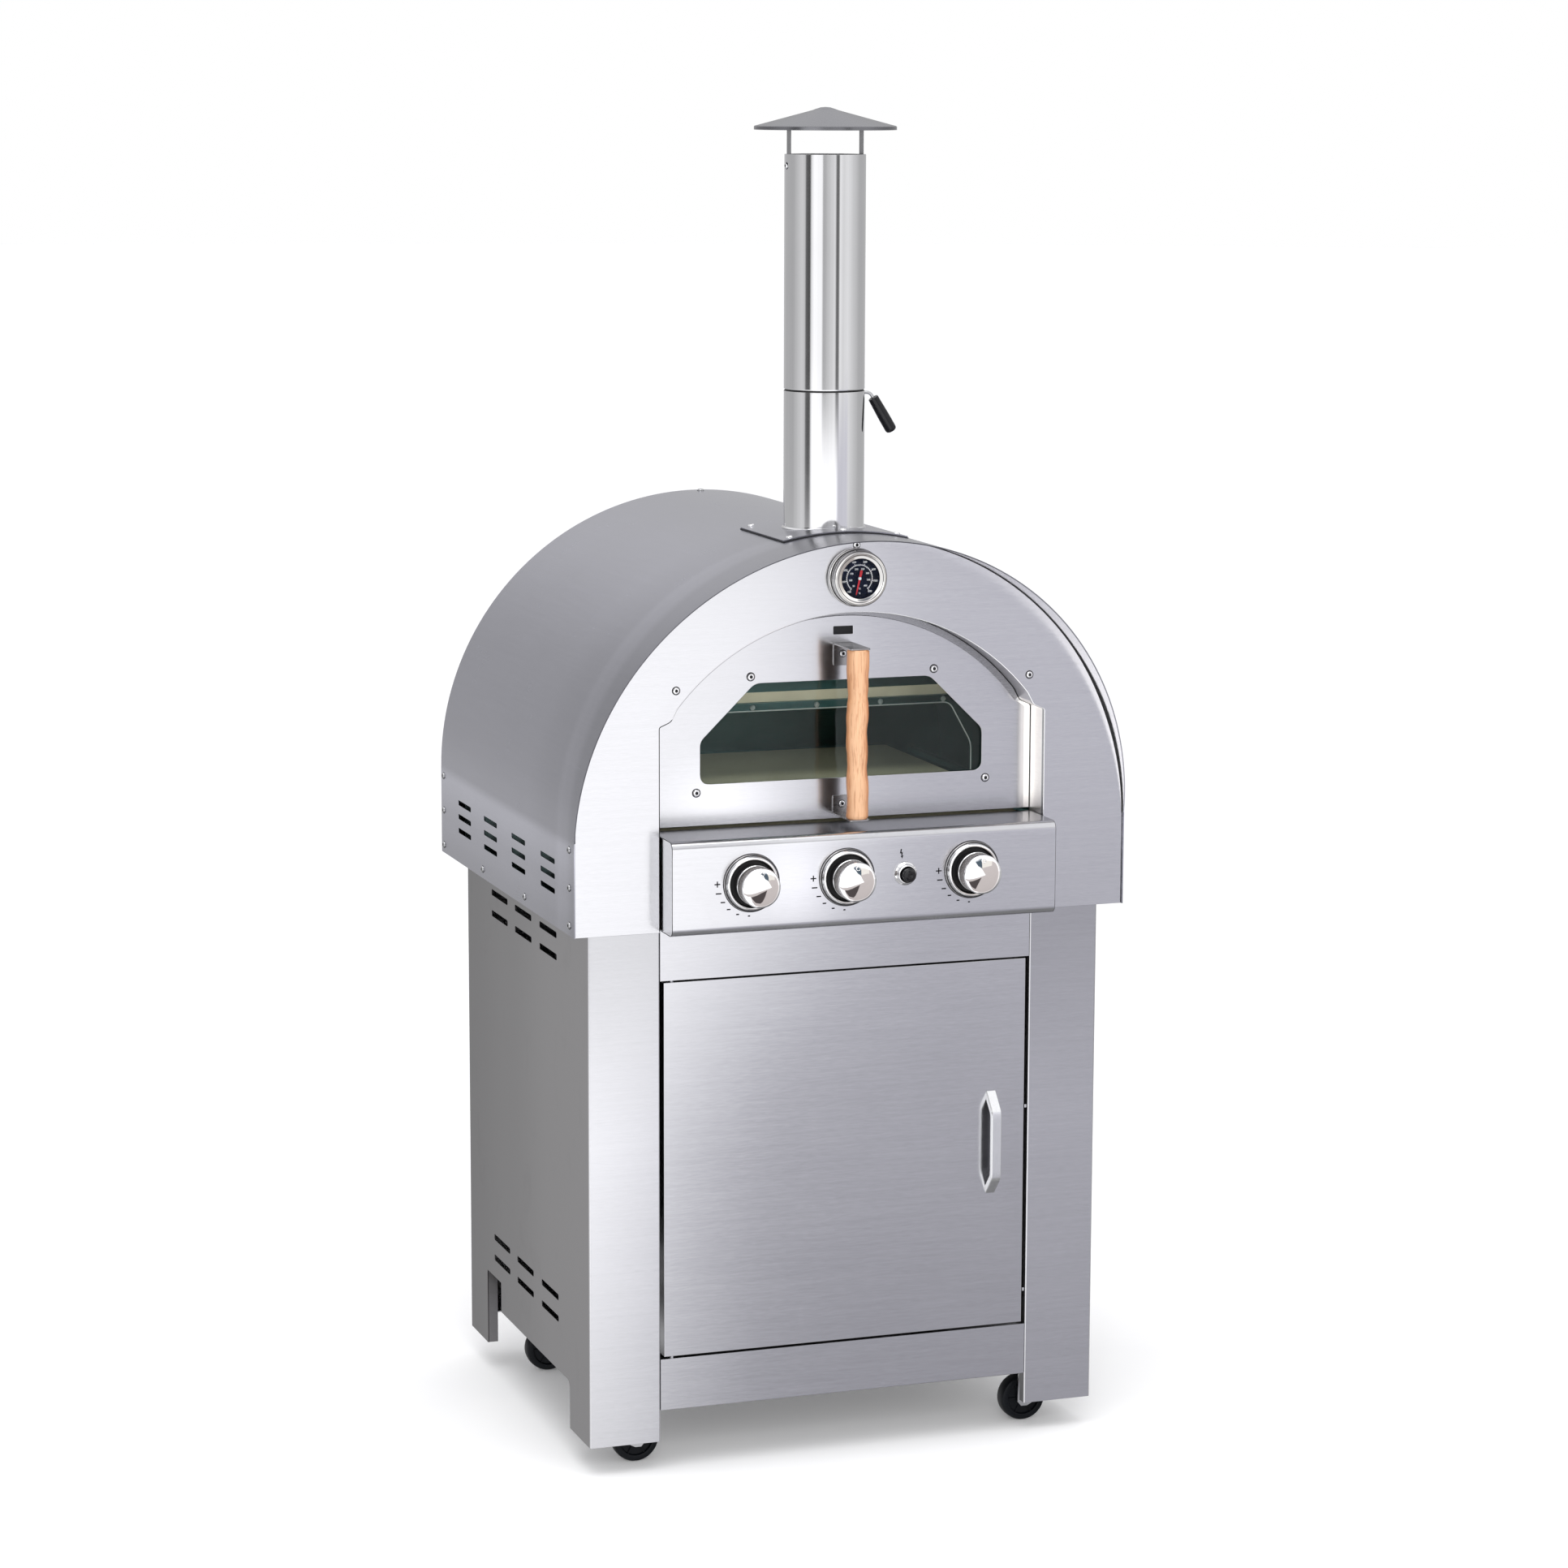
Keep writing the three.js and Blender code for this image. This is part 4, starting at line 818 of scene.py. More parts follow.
def grip_r(t):
    for (t0, r0), (t1, r1) in zip(prof, prof[1:]):
        if t <= t1:
            k = (t - t0) / (t1 - t0)
            k = k * k * (3 - 2 * k)
            return r0 + (r1 - r0) * k
    return prof[-1][1]


b = Build()
rows = []
steps = 90
for i in range(steps + 1):
    t = i / steps
    z = HZ0 + (HZ1 - HZ0) * t
    e = min(t, 1 - t) * (HZ1 - HZ0)
    edge = 1.0 if e > 1.6 else math.sqrt(max(0.0, 1 - (1 - e / 1.6) ** 2)) * 0.10 + 0.90
    cx = 0.75 * math.sin(t * 9.0 + 0.6) + 0.4 * math.sin(t * 21)
    cy = 0.6 * math.sin(t * 7.3 + 2.0)
    row = []
    for j in range(40):
        an = 2 * PI * j / 40
        lump = noise.noise(Vector((math.cos(an) * 0.9, math.sin(an) * 0.9, t * 8.0))) * 0.75
        fine = noise.noise(Vector((math.cos(an) * 3.0, math.sin(an) * 3.0, t * 30.0))) * 0.16
        rr = min(13.95, (grip_r(t) + lump + fine)) * edge
        row.append((cx + rr * math.cos(an), HY + cy + rr * math.sin(an), z))
    rows.append(row)
b.grid(rows, wrap=True)
for row, flip in ((rows[0], 1), (rows[-1], 0)):
    k = len(b.v)
    zc = row[0][2]
    b.v += [tuple(q) for q in row] + [(0.3, HY, zc)]
    for j in range(40):
        tri = (k + j, k + (j + 1) % 40, k + 40)
        b.f.append(tri[::-1] if flip else tri)
        b.m.append(0)
b.make("wooden_grip", M_wood, "oven_door", ["door_handle_grip"], sharp=50)

# ---------------------------------------------------------------- things seen through the window
b = Build()
b.rbox(-300, 300, 259.6, 261.6, ZB + 237, ZB + 250, 0.5)
edge = rounded([(257, ZB + 136), (257, ZB + 171.5), (226.5, ZB + 226), (-226.5, ZB + 226), (-257, ZB + 171.5), (-257, ZB + 136)], [0, 9, 9, 9, 9, 0], 5)
# painted highlight: a thin white tube along the edge of the baffle's opening
b.tube([(u, 261.2, v) for u, v in edge], 0.85, 8, mat=1)
for x in (-305, -218, -131, -43.6, 43.6, 131, 218, 305):
    b.lathe([(0, -0.6), (3.6, -0.6), (3.6, 0.4), (3.0, 1.5), (1.6, 2.1), (0, 2.3)], (x, 262, ZB + 230.5), (0, -1, 0), 18, mat=1)
b.make("baffle_trim", [M_cream, M_white_print_and_highlight])

# ---------------------------------------------------------------- cabinet back: sheet with a folded lower hem
b = Build()
b.rbox(-333, 333, 578.70, 580.20, 78.7, ZB - 1, 0.3)
b.rbox(-331, 331, 571.00, 578.75, 78.7, 80.0, 0.3)
b.make("cabinet_back_sheet", M_back, replaces=["cabinet_back_panel"])

# ---------------------------------------------------------------- control panel
PY, PH, PZ0, PZ1, PB = -45.0, 249.3, ZB + 2, ZB + 118, 10.0
KX, KZ = (-149, -26, 137.5), ZB + 64
b = Build()
holes = [circle(x, KZ, 12, 32) for x in KX] + [circle(50, KZ, 10.5, 28)]
b.plate([[(-PH + 0.2, PZ0 + PB + 7), (PH - 0.2, PZ0 + PB + 7), (PH - 0.2, PZ1 - PB - 7), (-PH + 0.2, PZ1 - PB - 7)], *holes], 1.5, XZ(PY + 0.75), 0.01, 0)


def fold(o):
    top = [(PY + PB - (PB - o) * math.sin(t), PZ1 - PB + (PB - o) * math.cos(t)) for t in [PI / 2 * i / 10 for i in range(11)]]
    bot = [(PY + PB - (PB - o) * math.sin(t), PZ0 + PB - (PB - o) * math.cos(t)) for t in [PI / 2 * i / 10 for i in range(11)]]
    return top + [(PY + o, PZ1 - PB - 7)], bot + [(PY + o, PZ0 + PB + 7)]


(to, bo), (ti, bi) = fold(0), fold(1.5)
for s_o, s_i, yend, zo, zi in ((to, ti, 40.0, PZ1, PZ1 - 1.5), (bo, bi, 0.6, PZ0, PZ0 + 1.5)):
    loop = [(yend, zo), *s_o, *reversed(s_i), (yend, zi)]
    b.grid([[(x, y, z) for y, z in loop] for x in (-PH + 0.3, -PH + 0.8, PH - 0.8, PH - 0.3)], wrap=True, cap=True, mat=1 if s_o is to else 0)
# painted shade only on the flat top: the front part of the top fold goes back to the panel's steel
for i, fc in enumerate(b.f):
    if b.m[i] == 1 and sum(b.v[j][1] for j in fc) / len(fc) < PY + PB * 0.62:
        b.m[i] = 0
end = [(0.6, PZ1 - 0.4), *[(y, z) for y, z in fold(0.4)[0]], *[(y, z) for y, z in reversed(fold(0.4)[1])], (0.6, PZ0 + 0.4)]
for s in (-1, 1):
    b.plate([end], 1.5, YZ(s * (PH - 0.75)), 0.45, 3)
# painted shade: a thin black tube along each end draws a dark line for the groove there
for s in (-1, 1):
    b.tube([(s * (PH + 0.02), y, z) for y, z in end], 0.42, 8, mat=2)
b.make("panel_box", [M_panel, M_panel_top_shade, M_recess_shade], replaces=["control_panel"], sharp=28)

# printed marks: plus, shortening dashes, spark
b = Build()


def mark(pts):
    b.plate([pts], 0.12, XZ(PY - 0.06), 0.01, 0)


for x in KX:
    mark(rrect(x - 43.4, KZ + 0.5, 7.4, 1.5, 0.2, 2))
    mark(rrect(x - 43.4, KZ + 0.5, 1.5, 7.4, 0.2, 2))
    for dx, dz, w in ((-41.8, -11, 7.2), (-36.4, -22, 5.8), (-29.0, -31, 4.6), (-17.6, -37.8, 3.8), (-3.0, -40.6, 2.8)):
        mark(rrect(x + dx, KZ + dz, w, 1.6, 0.2, 2))
sx, sz = 45.2, ZB + 88.6
mark([(sx - 1.2, sz + 6.0), (sx + 0.4, sz + 6.0), (sx - 0.3, sz + 2.0), (sx + 1.6, sz + 2.2), (sx + 0.7, sz - 2.2), (sx + 2.3, sz - 1.6), (sx + 0.8, sz - 6.0),
      (sx - 1.3, sz - 2.6), (sx - 0.4, sz - 3.0), (sx - 0.6, sz + 0.7), (sx - 2.3, sz + 0.5)])
b.make("panel_marks", M_ink)

# bezels: stepped chrome ring over a black cup
for side, x in zip(("left", "centre", "right"), KX):
    b = Build()
    pf = [(12.8, -45.2), (35.5, -45.2), (35.5, -47.6), (35.0, -48.6), (34.2, -49.0), (33.6, -49.1), (33.2, -49.6), (32.9, -51.2), (32.0, -52.7), (30.6, -53.3), (29.3, -53.0),
          (28.4, -52.0), (28.0, -50.6), (28.0, -46.8), (12.8, -46.8), (12.8, -45.2)]
    mt = [0] * (len(pf) - 1)
    mt[1] = mt[2] = 2
    # painted shade: a dark step on the ring's face draws a dark outline
    mt[3] = mt[4] = 1
    mt[-4] = mt[-3] = mt[-2] = mt[-1] = 1
    b.lathe([(q, -h) for q, h in pf], (x, 0, KZ), (0, -1, 0), 96, mats=mt)
    # painted shade: a thin black ring behind the bezel draws its dark outer outline
    b.lathe([(30, 45.02), (36.3, 45.02), (36.3, 45.2), (30, 45.2), (30, 45.02)], (x, 0, KZ), (0, -1, 0), 72, mat=1)
    b.make("bezel_ring_" + side, [M_chrome, M_recess_shade, M_ring], replaces=["knob_bezel_" + side], sharp=40)

    b = Build()
    pf = [(4.4, -51.0), (23.2, -51.0), (23.4, -60.2), (24.2, -60.6), (24.5, -61.4), (24.4, -62.6), (23.7, -63.2), (23.5, -63.8), (23.6, -64.4), (23.6, -79.6), (23.7, -80.2),
          (24.3, -80.6), (24.5, -81.6), (24.2, -82.8), (23.2, -83.8), (20.0, -84.9), (16.0, -85.7), (11.0, -86.4), (5.5, -86.85), (0, -87.0)]
    mt = [0] * (len(pf) - 1)
    mt[0] = mt[1] = 1
    mt[7] = mt[8] = mt[9] = 2
    knurl = lambda t, h, q: 1.0 + (0.030 * (0.5 + 0.5 * math.cos(t * 72)) if 64.0 < h < 80.0 else 0.0)
    b.lathe([(q, -h) for q, h in pf], (x, 0, KZ), (0, -1, 0), 288, mats=mt, radial=knurl)
    b.lathe([(0, 84.2), (2.9, 84.2), (2.9, 85.9), (2.45, 86.15), (1.9, 85.4), (1.0, 85.0), (0, 84.9)], (x, 0, KZ + 17.5), (0, -1, 0), 28, mat=0)
    b.make("control_knob_" + side, [M_chrome, M_recess_shade, M_knurl], "knob_" + side, ["knob_" + side], sharp=40)

# igniter
b = Build()
pf = [(8.9, 18), (10, 14), (10, 45.3), (14.6, 45.3), (14.6, 46.6), (14.1, 47.6), (12.6, 48.4), (12.0, 49.4), (11.8, 52.2), (11.3, 53.2), (10.4, 53.6), (9.5, 53.2), (9.1, 52.2), (8.9, 50.0), (8.9, 18)]
b.lathe(pf, (50, 0, KZ), (0, -1, 0), 72)
b.make("igniter_body", M_chrome, replaces=["igniter_housing"], sharp=40)
b = Build()
pf = [(0, 24), (8.4, 24), (8.5, 60.2), (8.35, 61.2), (7.8, 62.2), (6.9, 62.8), (5.2, 63.2), (3.6, 63.3), (3.2, 63.0), (0, 62.9)]
b.lathe(pf, (50, 0, KZ), (0, -1, 0), 56)
b.make("igniter_cap", M_black, "igniter_button", ["igniter_button"], sharp=40)

# ---------------------------------------------------------------- thermometer
GZ = ZB + 425.5
b = Build()
pf = [(0, 11), (29.9, 11), (29.9, 16.95), (25.0, 16.95), (24.7, 17.15), (25.0, 17.35), (27.6, 17.6), (28.6, 17.9), (29.2, 18.5), (30.6, 19.2), (32.2, 19.1), (33.5, 18.2), (34.3, 16.6), (34.4, 13.6),
      (33.9, 12.5), (32.6, 12.0), (32.0, 11.3), (32.0, 8.8), (32.8, 8.2), (33.6, 7.0), (33.6, 5.4), (32.5, 4.4), (32.5, 3.9), (34.6, 3.7), (35.6, 3.0), (35.9, 2.0), (35.9, 0.1), (0, 0.1)]
mt = [0] * (len(pf) - 1)
# painted shade: black bands between the rings of the case
mt[7] = mt[14] = mt[15] = mt[16] = mt[17] = mt[20] = mt[21] = mt[22] = 1
b.lathe(pf, (0, 0, GZ), (0, -1, 0), 96, mats=mt)
b.tube([(0, 0, GZ), (0, 50, GZ), (0, 104, GZ)], 2.8, 14)
b.make("thermometer_body", [M_gauge, M_recess_shade], replaces=["thermometer_case"], sharp=40)

b = Build()
b.lathe([(0, 11.4), (29.2, 11.4), (29.2, 12.2), (28.9, 12.4), (0, 12.4)], (0, 0, GZ), (0, -1, 0), 72)
b.make("dial_disc", M_dial, replaces=["thermometer_dial"])

b = Build()
Y_D = -12.46


def dial_pt(rad, deg):  # degrees clockwise from straight up, seen from the front
    t = math.radians(deg)
    return (rad * math.sin(t), GZ + rad * math.cos(t))


A0, A1 = -140.0, 140.0
band = [dial_pt(16.7, A0 + (A1 - A0) * i / 60) for i in range(61)] + [dial_pt(16.1, A1 - (A1 - A0) * i / 60) for i in range(61)]
b.plate([band], 0.1, XZ(Y_D), 0.01, 0)
for i in range(36):
    d = A0 + (A1 - A0) * i / 35
    long = i % 5 == 0
    for r0, r1, every in ((16.6, 18.6 if long else 17.6, 1),):
        w = 0.7 if long else 0.4
        u = Vector(dial_pt(1, d)) - Vector((0, GZ))
        n_ = Vector((u.y, -u.x))
        q = [u * r0 + n_ * w / 2, u * r1 + n_ * w / 2, u * r1 - n_ * w / 2, u * r0 - n_ * w / 2]
        b.plate([[(v.x, v.y + GZ) for v in q]], 0.1, XZ(Y_D), 0.01, 0)
for i in range(41):
    d = A0 + (A1 - A0) * i / 40
    r0, r1, w = 16.2, (14.9 if i % 5 == 0 else 15.5), 0.3
    u = Vector(dial_pt(1, d)) - Vector((0, GZ))
    n_ = Vector((u.y, -u.x))
    q = [u * r0 + n_ * w / 2, u * r1 + n_ * w / 2, u * r1 - n_ * w / 2, u * r0 - n_ * w / 2]
    b.plate([[(v.x, v.y + GZ) for v in q]], 0.1, XZ(Y_D), 0.01, 0)


def figure(text, rad, deg, size):
    cu = bpy.data.curves.new("tmp", "FONT")
    cu.body, cu.size, cu.align_x, cu.align_y, cu.resolution_u = text, size, "CENTER", "CENTER", 3
    cu.offset = 0.05
    ob = bpy.data.objects.new("tmp", cu)
    bpy.context.scene.collection.objects.link(ob)
    dg = bpy.context.evaluated_depsgraph_get()
    me = bpy.data.meshes.new_from_object(ob.evaluated_get(dg))
    cx, cz = dial_pt(rad, deg)
    b.add([(q.co.x + cx, Y_D - 0.05, q.co.y + cz) for q in me.vertices], [tuple(f.vertices) for f in me.polygons])
    bpy.data.objects.remove(ob)
    bpy.data.curves.remove(cu)
    bpy.data.meshes.remove(me)


for i in range(8):
    figure(str(100 * (i + 1)), 21.0, A0 + (A1 - A0) * i / 7, 3.5)
    figure(str(50 * (i + 1)), 11.9, A0 + (A1 - A0) * i / 7, 3.0)
figure("°C", 12.6, 180, 2.9)
figure("°F", 18.6, 180, 3.0)
b.make("dial_figures", M_white_print_and_highlight, solid=False)

b = Build()
ang = math.radians(13)
ca, sa = math.cos(ang), math.sin(ang)


def nd(u, v):
    # a hair left of straight down, turned about the dial's centre
    return (u * ca + v * sa, GZ - u * sa + v * ca)


b.plate([[nd(-1.25, 0), nd(-1.0, -10), nd(-0.55, -20.4), nd(0.55, -20.4), nd(1.0, -10), nd(1.25, 0), nd(1.7, 7), nd(1.5, 10.2), nd(-1.5, 10.2), nd(-1.7, 7)]], 0.7, XZ(-13.6), 0.1, 1)
b.lathe([(0, 12.75), (1.9, 12.75), (1.9, 14.3), (1.5, 14.7), (0, 14.8)], (0, 0, GZ), (0, -1, 0), 28, mat=1)
b.make("dial_needle", [M_red, M_white_print_and_highlight], "gauge_needle", ["thermometer_needle"])

b = Build()
b.lathe([(0, 15.2), (29.2, 15.2), (29.3, 15.4), (29.3, 16.2), (29.1, 16.4), (20, 16.62), (10, 16.72), (0, 16.75)], (0, 0, GZ), (0, -1, 0), 72)
b.make("dial_cover", M_lens, replaces=["thermometer_lens"])

# ---------------------------------------------------------------- chimney
CY, SEAM, PTOP = 117.0, ZB + 646, ZB + 933
CR, CRIM, CTOP = 87.5, ZB + 967, ZB + 990
b = Build()
ang0 = math.acos(81 / 362.0)
for q0, q1, grow, mi in ((360.1, 361.2, 0.9, 1), (361.2, 362.6, 0.0, 0)):
    rows = []
    g_ = grow / 360
    for i in range(33):
        t = ang0 - g_ + (PI - 2 * ang0 + 2 * g_) * i / 32
        c, s = math.cos(t), math.sin(t)
        rows.append([(q * c, y, HZC + q * s) for q, y in ((q0, 36 - grow), (q1, 36 - grow), (q1, 198 + grow), (q0, 198 + grow))])
    b.grid(rows, wrap=True, cap=True, mat=mi)
b.make("chimney_plate", [M_hood, M_gasket], replaces=["chimney_base_plate"], uv=hood_uv)
b = Build()
for x in (-70, 0, 70):
    for y in (46, 190):
        t = math.acos(x / 362.0)
        screw(b, (362.4 * math.cos(t), y, HZC + 362.4 * math.sin(t)), (math.cos(t), 0, math.sin(t)), 4.35, 2.3, turn=x)
b.make("chimney_plate_screws", [M_screw, M_recess_shade])

b = Build()
z0 = ZB + 432
# painted shade: the groove at the seam of the two pipes is black
b.lathe([(48.8, z0), (50, z0), (50, ZB + 474.6), (51.6, ZB + 475.2), (52.3, ZB + 474.8), (52.4, ZB + 475.6), (51.8, ZB + 476.6), (50.2, ZB + 477.6), (50, ZB + 479), (50, SEAM - 3.0), (50, SEAM - 1.5), (49.9, SEAM - 1.2), (48.5, SEAM - 1.1), (48.5, SEAM + 1.6), (48.5, SEAM + 28), (47.3, SEAM + 28), (47.3, SEAM - 3), (48.8, SEAM - 6), (48.8, z0)],
        (0, CY, 0), (0, 0, 1), 120, mats=[0] * 11 + [1, 1] + [0] * 5)
b.make("flue_lower", [M_pipe, M_recess_shade], replaces=["chimney_lower_pipe"], sharp=30)
b = Build()
b.lathe([(48.8, SEAM + 1.2), (49.9, SEAM + 1.2), (50.0, SEAM + 1.5), (50.0, SEAM + 2.6), (50.0, SEAM + 4.2), (50.0, SEAM + 5.0), (50, PTOP - 0.6), (49.8, PTOP), (49.0, PTOP), (48.8, PTOP - 0.4), (48.8, SEAM + 1.2)], (0, CY, 0), (0, 0, 1), 120)
b.make("flue_upper", M_pipe, replaces=["chimney_upper_pipe"], sharp=30)

b = Build()
b.lathe([(0, CTOP), (6, CTOP - 0.5), (12, CTOP - 2.4), (16, CTOP - 3.9), (CR - 1.0, CRIM + 0.2), (CR - 0.2, CRIM - 0.4), (CR, CRIM - 1.2), (CR, CRIM - 4.5), (CR - 1.1, CRIM - 4.5), (CR - 1.2, CRIM - 1.6), (CR - 2.2, CRIM - 1.0), (16, CTOP - 5.2), (0, CTOP - 2.0)],
        (0, CY, 0), (0, 0, 1), 120)
for q in (-1, 1):
    x0, x1 = sorted((q * 46.4, q * 47.8))
    b.rbox(x0, x1, CY - 6.5, CY + 6.5, PTOP - 32, CRIM + 10.0, 0.35, mat=1)
    screw(b, (q * 50, CY, ZB + 919), (q, 0, 0), 3.9, 2.2, mat=2, dark=3)
b.make("rain_cap", [M_cap, M_strap, M_screw, M_recess_shade], replaces=["chimney_cap"], sharp=30)

# damper: disc on a bent rod with a moulded grip
DZ = ZB + 641
dr = Vector((26, 0, -43)).normalized()
G0 = Vector((63.3, CY, DZ - 5))
b = Build()
b.lathe([(0, -0.7), (45.2, -0.7), (45.5, -0.4), (45.5, 0.4), (45.2, 0.7), (0, 0.7)], (0, CY, DZ), (0, 1, 0), 72)
corner = Vector((G0.x + dr.x * (DZ - G0.z) / dr.z, CY, DZ))
bend = [corner + Vector((-5, 0, 0)) * (1 - t) ** 2 + dr * 5 * t * t for t in [i / 8 for i in range(9)]]
b.tube([(-49.4, CY, DZ), (-20, CY, DZ), (30, CY, DZ), *[tuple(q) for q in bend], tuple(G0 + dr * 15), tuple(G0 + dr * 30)], 2.0, 16)
b.make("damper_rod_and_disc", M_zinc, "damper", ["damper_plate"])
b = Build()
b.lathe([(2.6, 2), (5.6, 2), (6.3, 2.4), (6.5, 3.2), (6.6, 8), (6.9, 18), (7.2, 30), (7.2, 46), (7.0, 48.2), (6.2, 49.8), (4.6, 50.8), (2.4, 51.0), (0, 51.0)], tuple(G0), tuple(dr), 48)
b.make("damper_handle", M_black, "damper", ["damper_grip"], sharp=45)

# ---------------------------------------------------------------- cabinet
CH, CY0, CY1, LEG, FOOT, T = 335.5, 22.3, 582.0, 91.4, 38.0, 1.5
TOP = ZB + 1.5
for side, s in (("left", -1), ("right", 1)):
    b = Build()
    out = rounded([(CY0 + 2, FOOT), (110, FOOT), (110, 93), (117, 99), (430, 99), (430, 139), (498, 139), (498, FOOT), (CY1 - 2, FOOT), (CY1 - 2, TOP), (CY0 + 2, TOP)],
                  [0, 0, 4, 4, 2, 2, 2, 0, 0, 0, 0], 4)
    slots = [rrect(yc, z, 77, 8, 2.6) for yc in (423, 311, 197) for z in (ZB - 28, ZB - 56, ZB - 494, ZB - 522)]
    b.plate([out, *slots], T, YZ(s * (CH - T / 2)), 0.15, 1, mat=0)
    # rounded bends at both upright edges
    for yy, sy in ((CY0, 1), (CY1, -1)):
        loop = [(s * (CH - 2 + 2 * math.sin(t)), yy + sy * (2 - 2 * math.cos(t))) for t in [PI / 2 * i / 5 for i in range(6)]]
        loop += [(s * (CH - 2 + 0.5 * math.sin(t)), yy + sy * (2 - 0.5 * math.cos(t))) for t in [PI / 2 * (5 - i) / 5 for i in range(6)]]
        b.grid([[(x, y, z) for x, y in loop] for z in (FOOT + 0.15, TOP - 0.15)], wrap=True, cap=True, mat=1 if sy > 0 else 0)
    lo, hi = sorted((s * (CH - 2), s * (CH - LEG + 1.6)))
    b.rbox(lo, hi, CY0, CY0 + T, FOOT, TOP, 0.12, 1, mat=1)
    lo, hi = sorted((s * (CH - LEG + 1.6), s * (CH - LEG)))
    loop = [(s * (CH - LEG + 1.7 - 1.7 * math.sin(t)), CY0 + 1.7 - 1.7 * math.cos(t)) for t in [PI / 2 * i / 5 for i in range(6)]]
    loop += [(s * (CH - LEG), CY0 + 14), (s * (CH - LEG + T), CY0 + 14), (s * (CH - LEG + T), CY0 + T), (s * (CH - LEG + 1.7), CY0 + T)]
    b.grid([[(x, y, z) for x, y in loop] for z in (FOOT + 0.1, TOP - 0.1)], wrap=True, cap=True, mat=1)
    for i, fc in enumerate(b.f):
        if b.m[i] == 1 and all(abs(b.v[j][0] - s * (CH - LEG)) < 0.3 for j in fc) and max(b.v[j][1] for j in fc) > CY0 + 1.2:
            b.m[i] = 2
    lo, hi = sorted((s * (CH - 2), s * (CH - 32)))
    b.rbox(lo, hi, CY1 - T, CY1, FOOT, TOP, 0.15, 1, mat=0)
    lo, hi = sorted((s * (CH - 0.2), s * (CH - 14)))
    b.rbox(lo, hi, 498, 499.5, FOOT, 140, 0.3, 2, mat=0)
    for i, fc in enumerate(b.f):
        if b.m[i] == 0 and all(s * b.v[j][0] < CH - T + 0.02 for j in fc) and min(b.v[j][1] for j in fc) < CY1 - 3:
            b.m[i] = 2
    b.make("cabinet_wall_" + side, [M_side_shaded, M_leg, M_inside], replaces=["cabinet_side_" + side], sharp=30)

# small bright spring clips in the right-hand door gap
b = Build()
for z in (ZB - 259, ZB - 499):
    b.rbox(240.2, 243.0, CY0 + 0.2, CY0 + 6, z - 2.2, z + 2.2, 0.5)
b.make("door_clips", M_chrome)

# cabinet pull: flat aluminium strip bent into a bow
b = Build()
f0 = CY0 - 0.3
outer = rounded([(f0, ZB - 368), (1.6, ZB - 346), (1.0, ZB - 338), (1.0, ZB - 266), (1.6, ZB - 258), (f0, ZB - 235.5)], [0, 6, 3, 3, 6, 0], 5)
inner = rounded([(f0, ZB - 358), (7.4, ZB - 341.5), (6.6, ZB - 336), (6.6, ZB - 268), (7.4, ZB - 262), (f0, ZB - 246)], [0, 5, 3, 3, 5, 0], 5)
rows = []
for (yo, zo), (yi, zi) in zip(outer, inner):
    k = 0.9
    d = Vector((yi - yo, zi - zo))
    dn = d.normalized()
    q = [(187.5 + k, yo, zo), (187.5, yo + dn.x * k, zo + dn.y * k), (187.5, yi, zi), (200.5, yi, zi), (200.5, yo + dn.x * k, zo + dn.y * k), (200.5 - k, yo, zo)]
    rows.append(q)
b.grid(rows, wrap=True, cap=True)
k_ = len(rows[0])
# painted shade: the strip's inner faces, on its shaded side, take the dark aluminium
for i, fc in enumerate(b.f):
    if all(j % k_ in (2, 3) for j in fc):
        b.m[i] = 1
b.make("cabinet_pull", [M_alu, M_alu_shade], "cabinet_door", ["cabinet_door_pull"], sharp=32)

# ---------------------------------------------------------------- caster wheels
CAST = {"front": (279, 76), "rear": (276, 478)}
for side, s in (("left", -1), ("right", 1)):
    for k_ in ("front", "rear"):
        hx, cy = CAST[k_]
        wx = s * hx - s * 17
        b = Build()
        half = [(4.0, 11.0), (8.6, 11.0), (9.0, 10.2), (9.2, 7.6), (20.6, 7.6), (21.0, 8.6), (21.6, 10.4), (22.6, 10.9), (26.6, 10.9), (28.4, 9.9), (29.5, 7.6), (29.95, 4.0), (30.0, 0)]
        pf = half + [(q, -h) for q, h in reversed(half[:-1])] + [half[0]]
        b.lathe(pf, (wx, cy, 30), (0, 1, 0), 72)
        for e in (-1, 1):
            for j in range(6):
                t = 2 * PI * j / 6
                R = Matrix.Rotation(t, 4, (0, 1, 0))
                R.translation = Vector((wx, cy, 30))
                lo, hi = sorted((e * 5.0, e * 9.4))
                b.rbox(8.8, 21.2, lo, hi, -1.1, 1.1, 0.4, 1, turn=R)
        nm = "%s_%s" % (k_, side)
        b.make("wheel_" + nm, M_wheel, "wheel_" + nm, ["caster_wheel_" + nm], sharp=32)

# ---------------------------------------------------------------- finish of the CAD nodes that stay
LOOKS = {
    "rear_panel": M_back, "oven_base_tray": M_sheet_shade, "inner_vault": M_liner, "liner_back_wall": M_liner, "smoke_baffle": M_liner,
    "pizza_stone": M_stone, "stone_support": M_zinc, "burner_left": M_liner, "burner_right": M_liner, "burner_rear": M_liner,
    "gas_manifold": M_brass, "door_glass_retainer": M_zinc, "front_top_rail": M_cad, "front_bottom_rail": M_cad, "cabinet_door": M_cad,
    "cabinet_floor": M_sheet_shade,
}
for s in ("left", "centre", "right"):
    LOOKS["gas_valve_" + s] = LOOKS["valve_stem_" + s] = M_brass
for k_ in ("front", "rear"):
    for s in ("left", "right"):
        LOOKS["caster_fork_%s_%s" % (k_, s)] = M_zinc
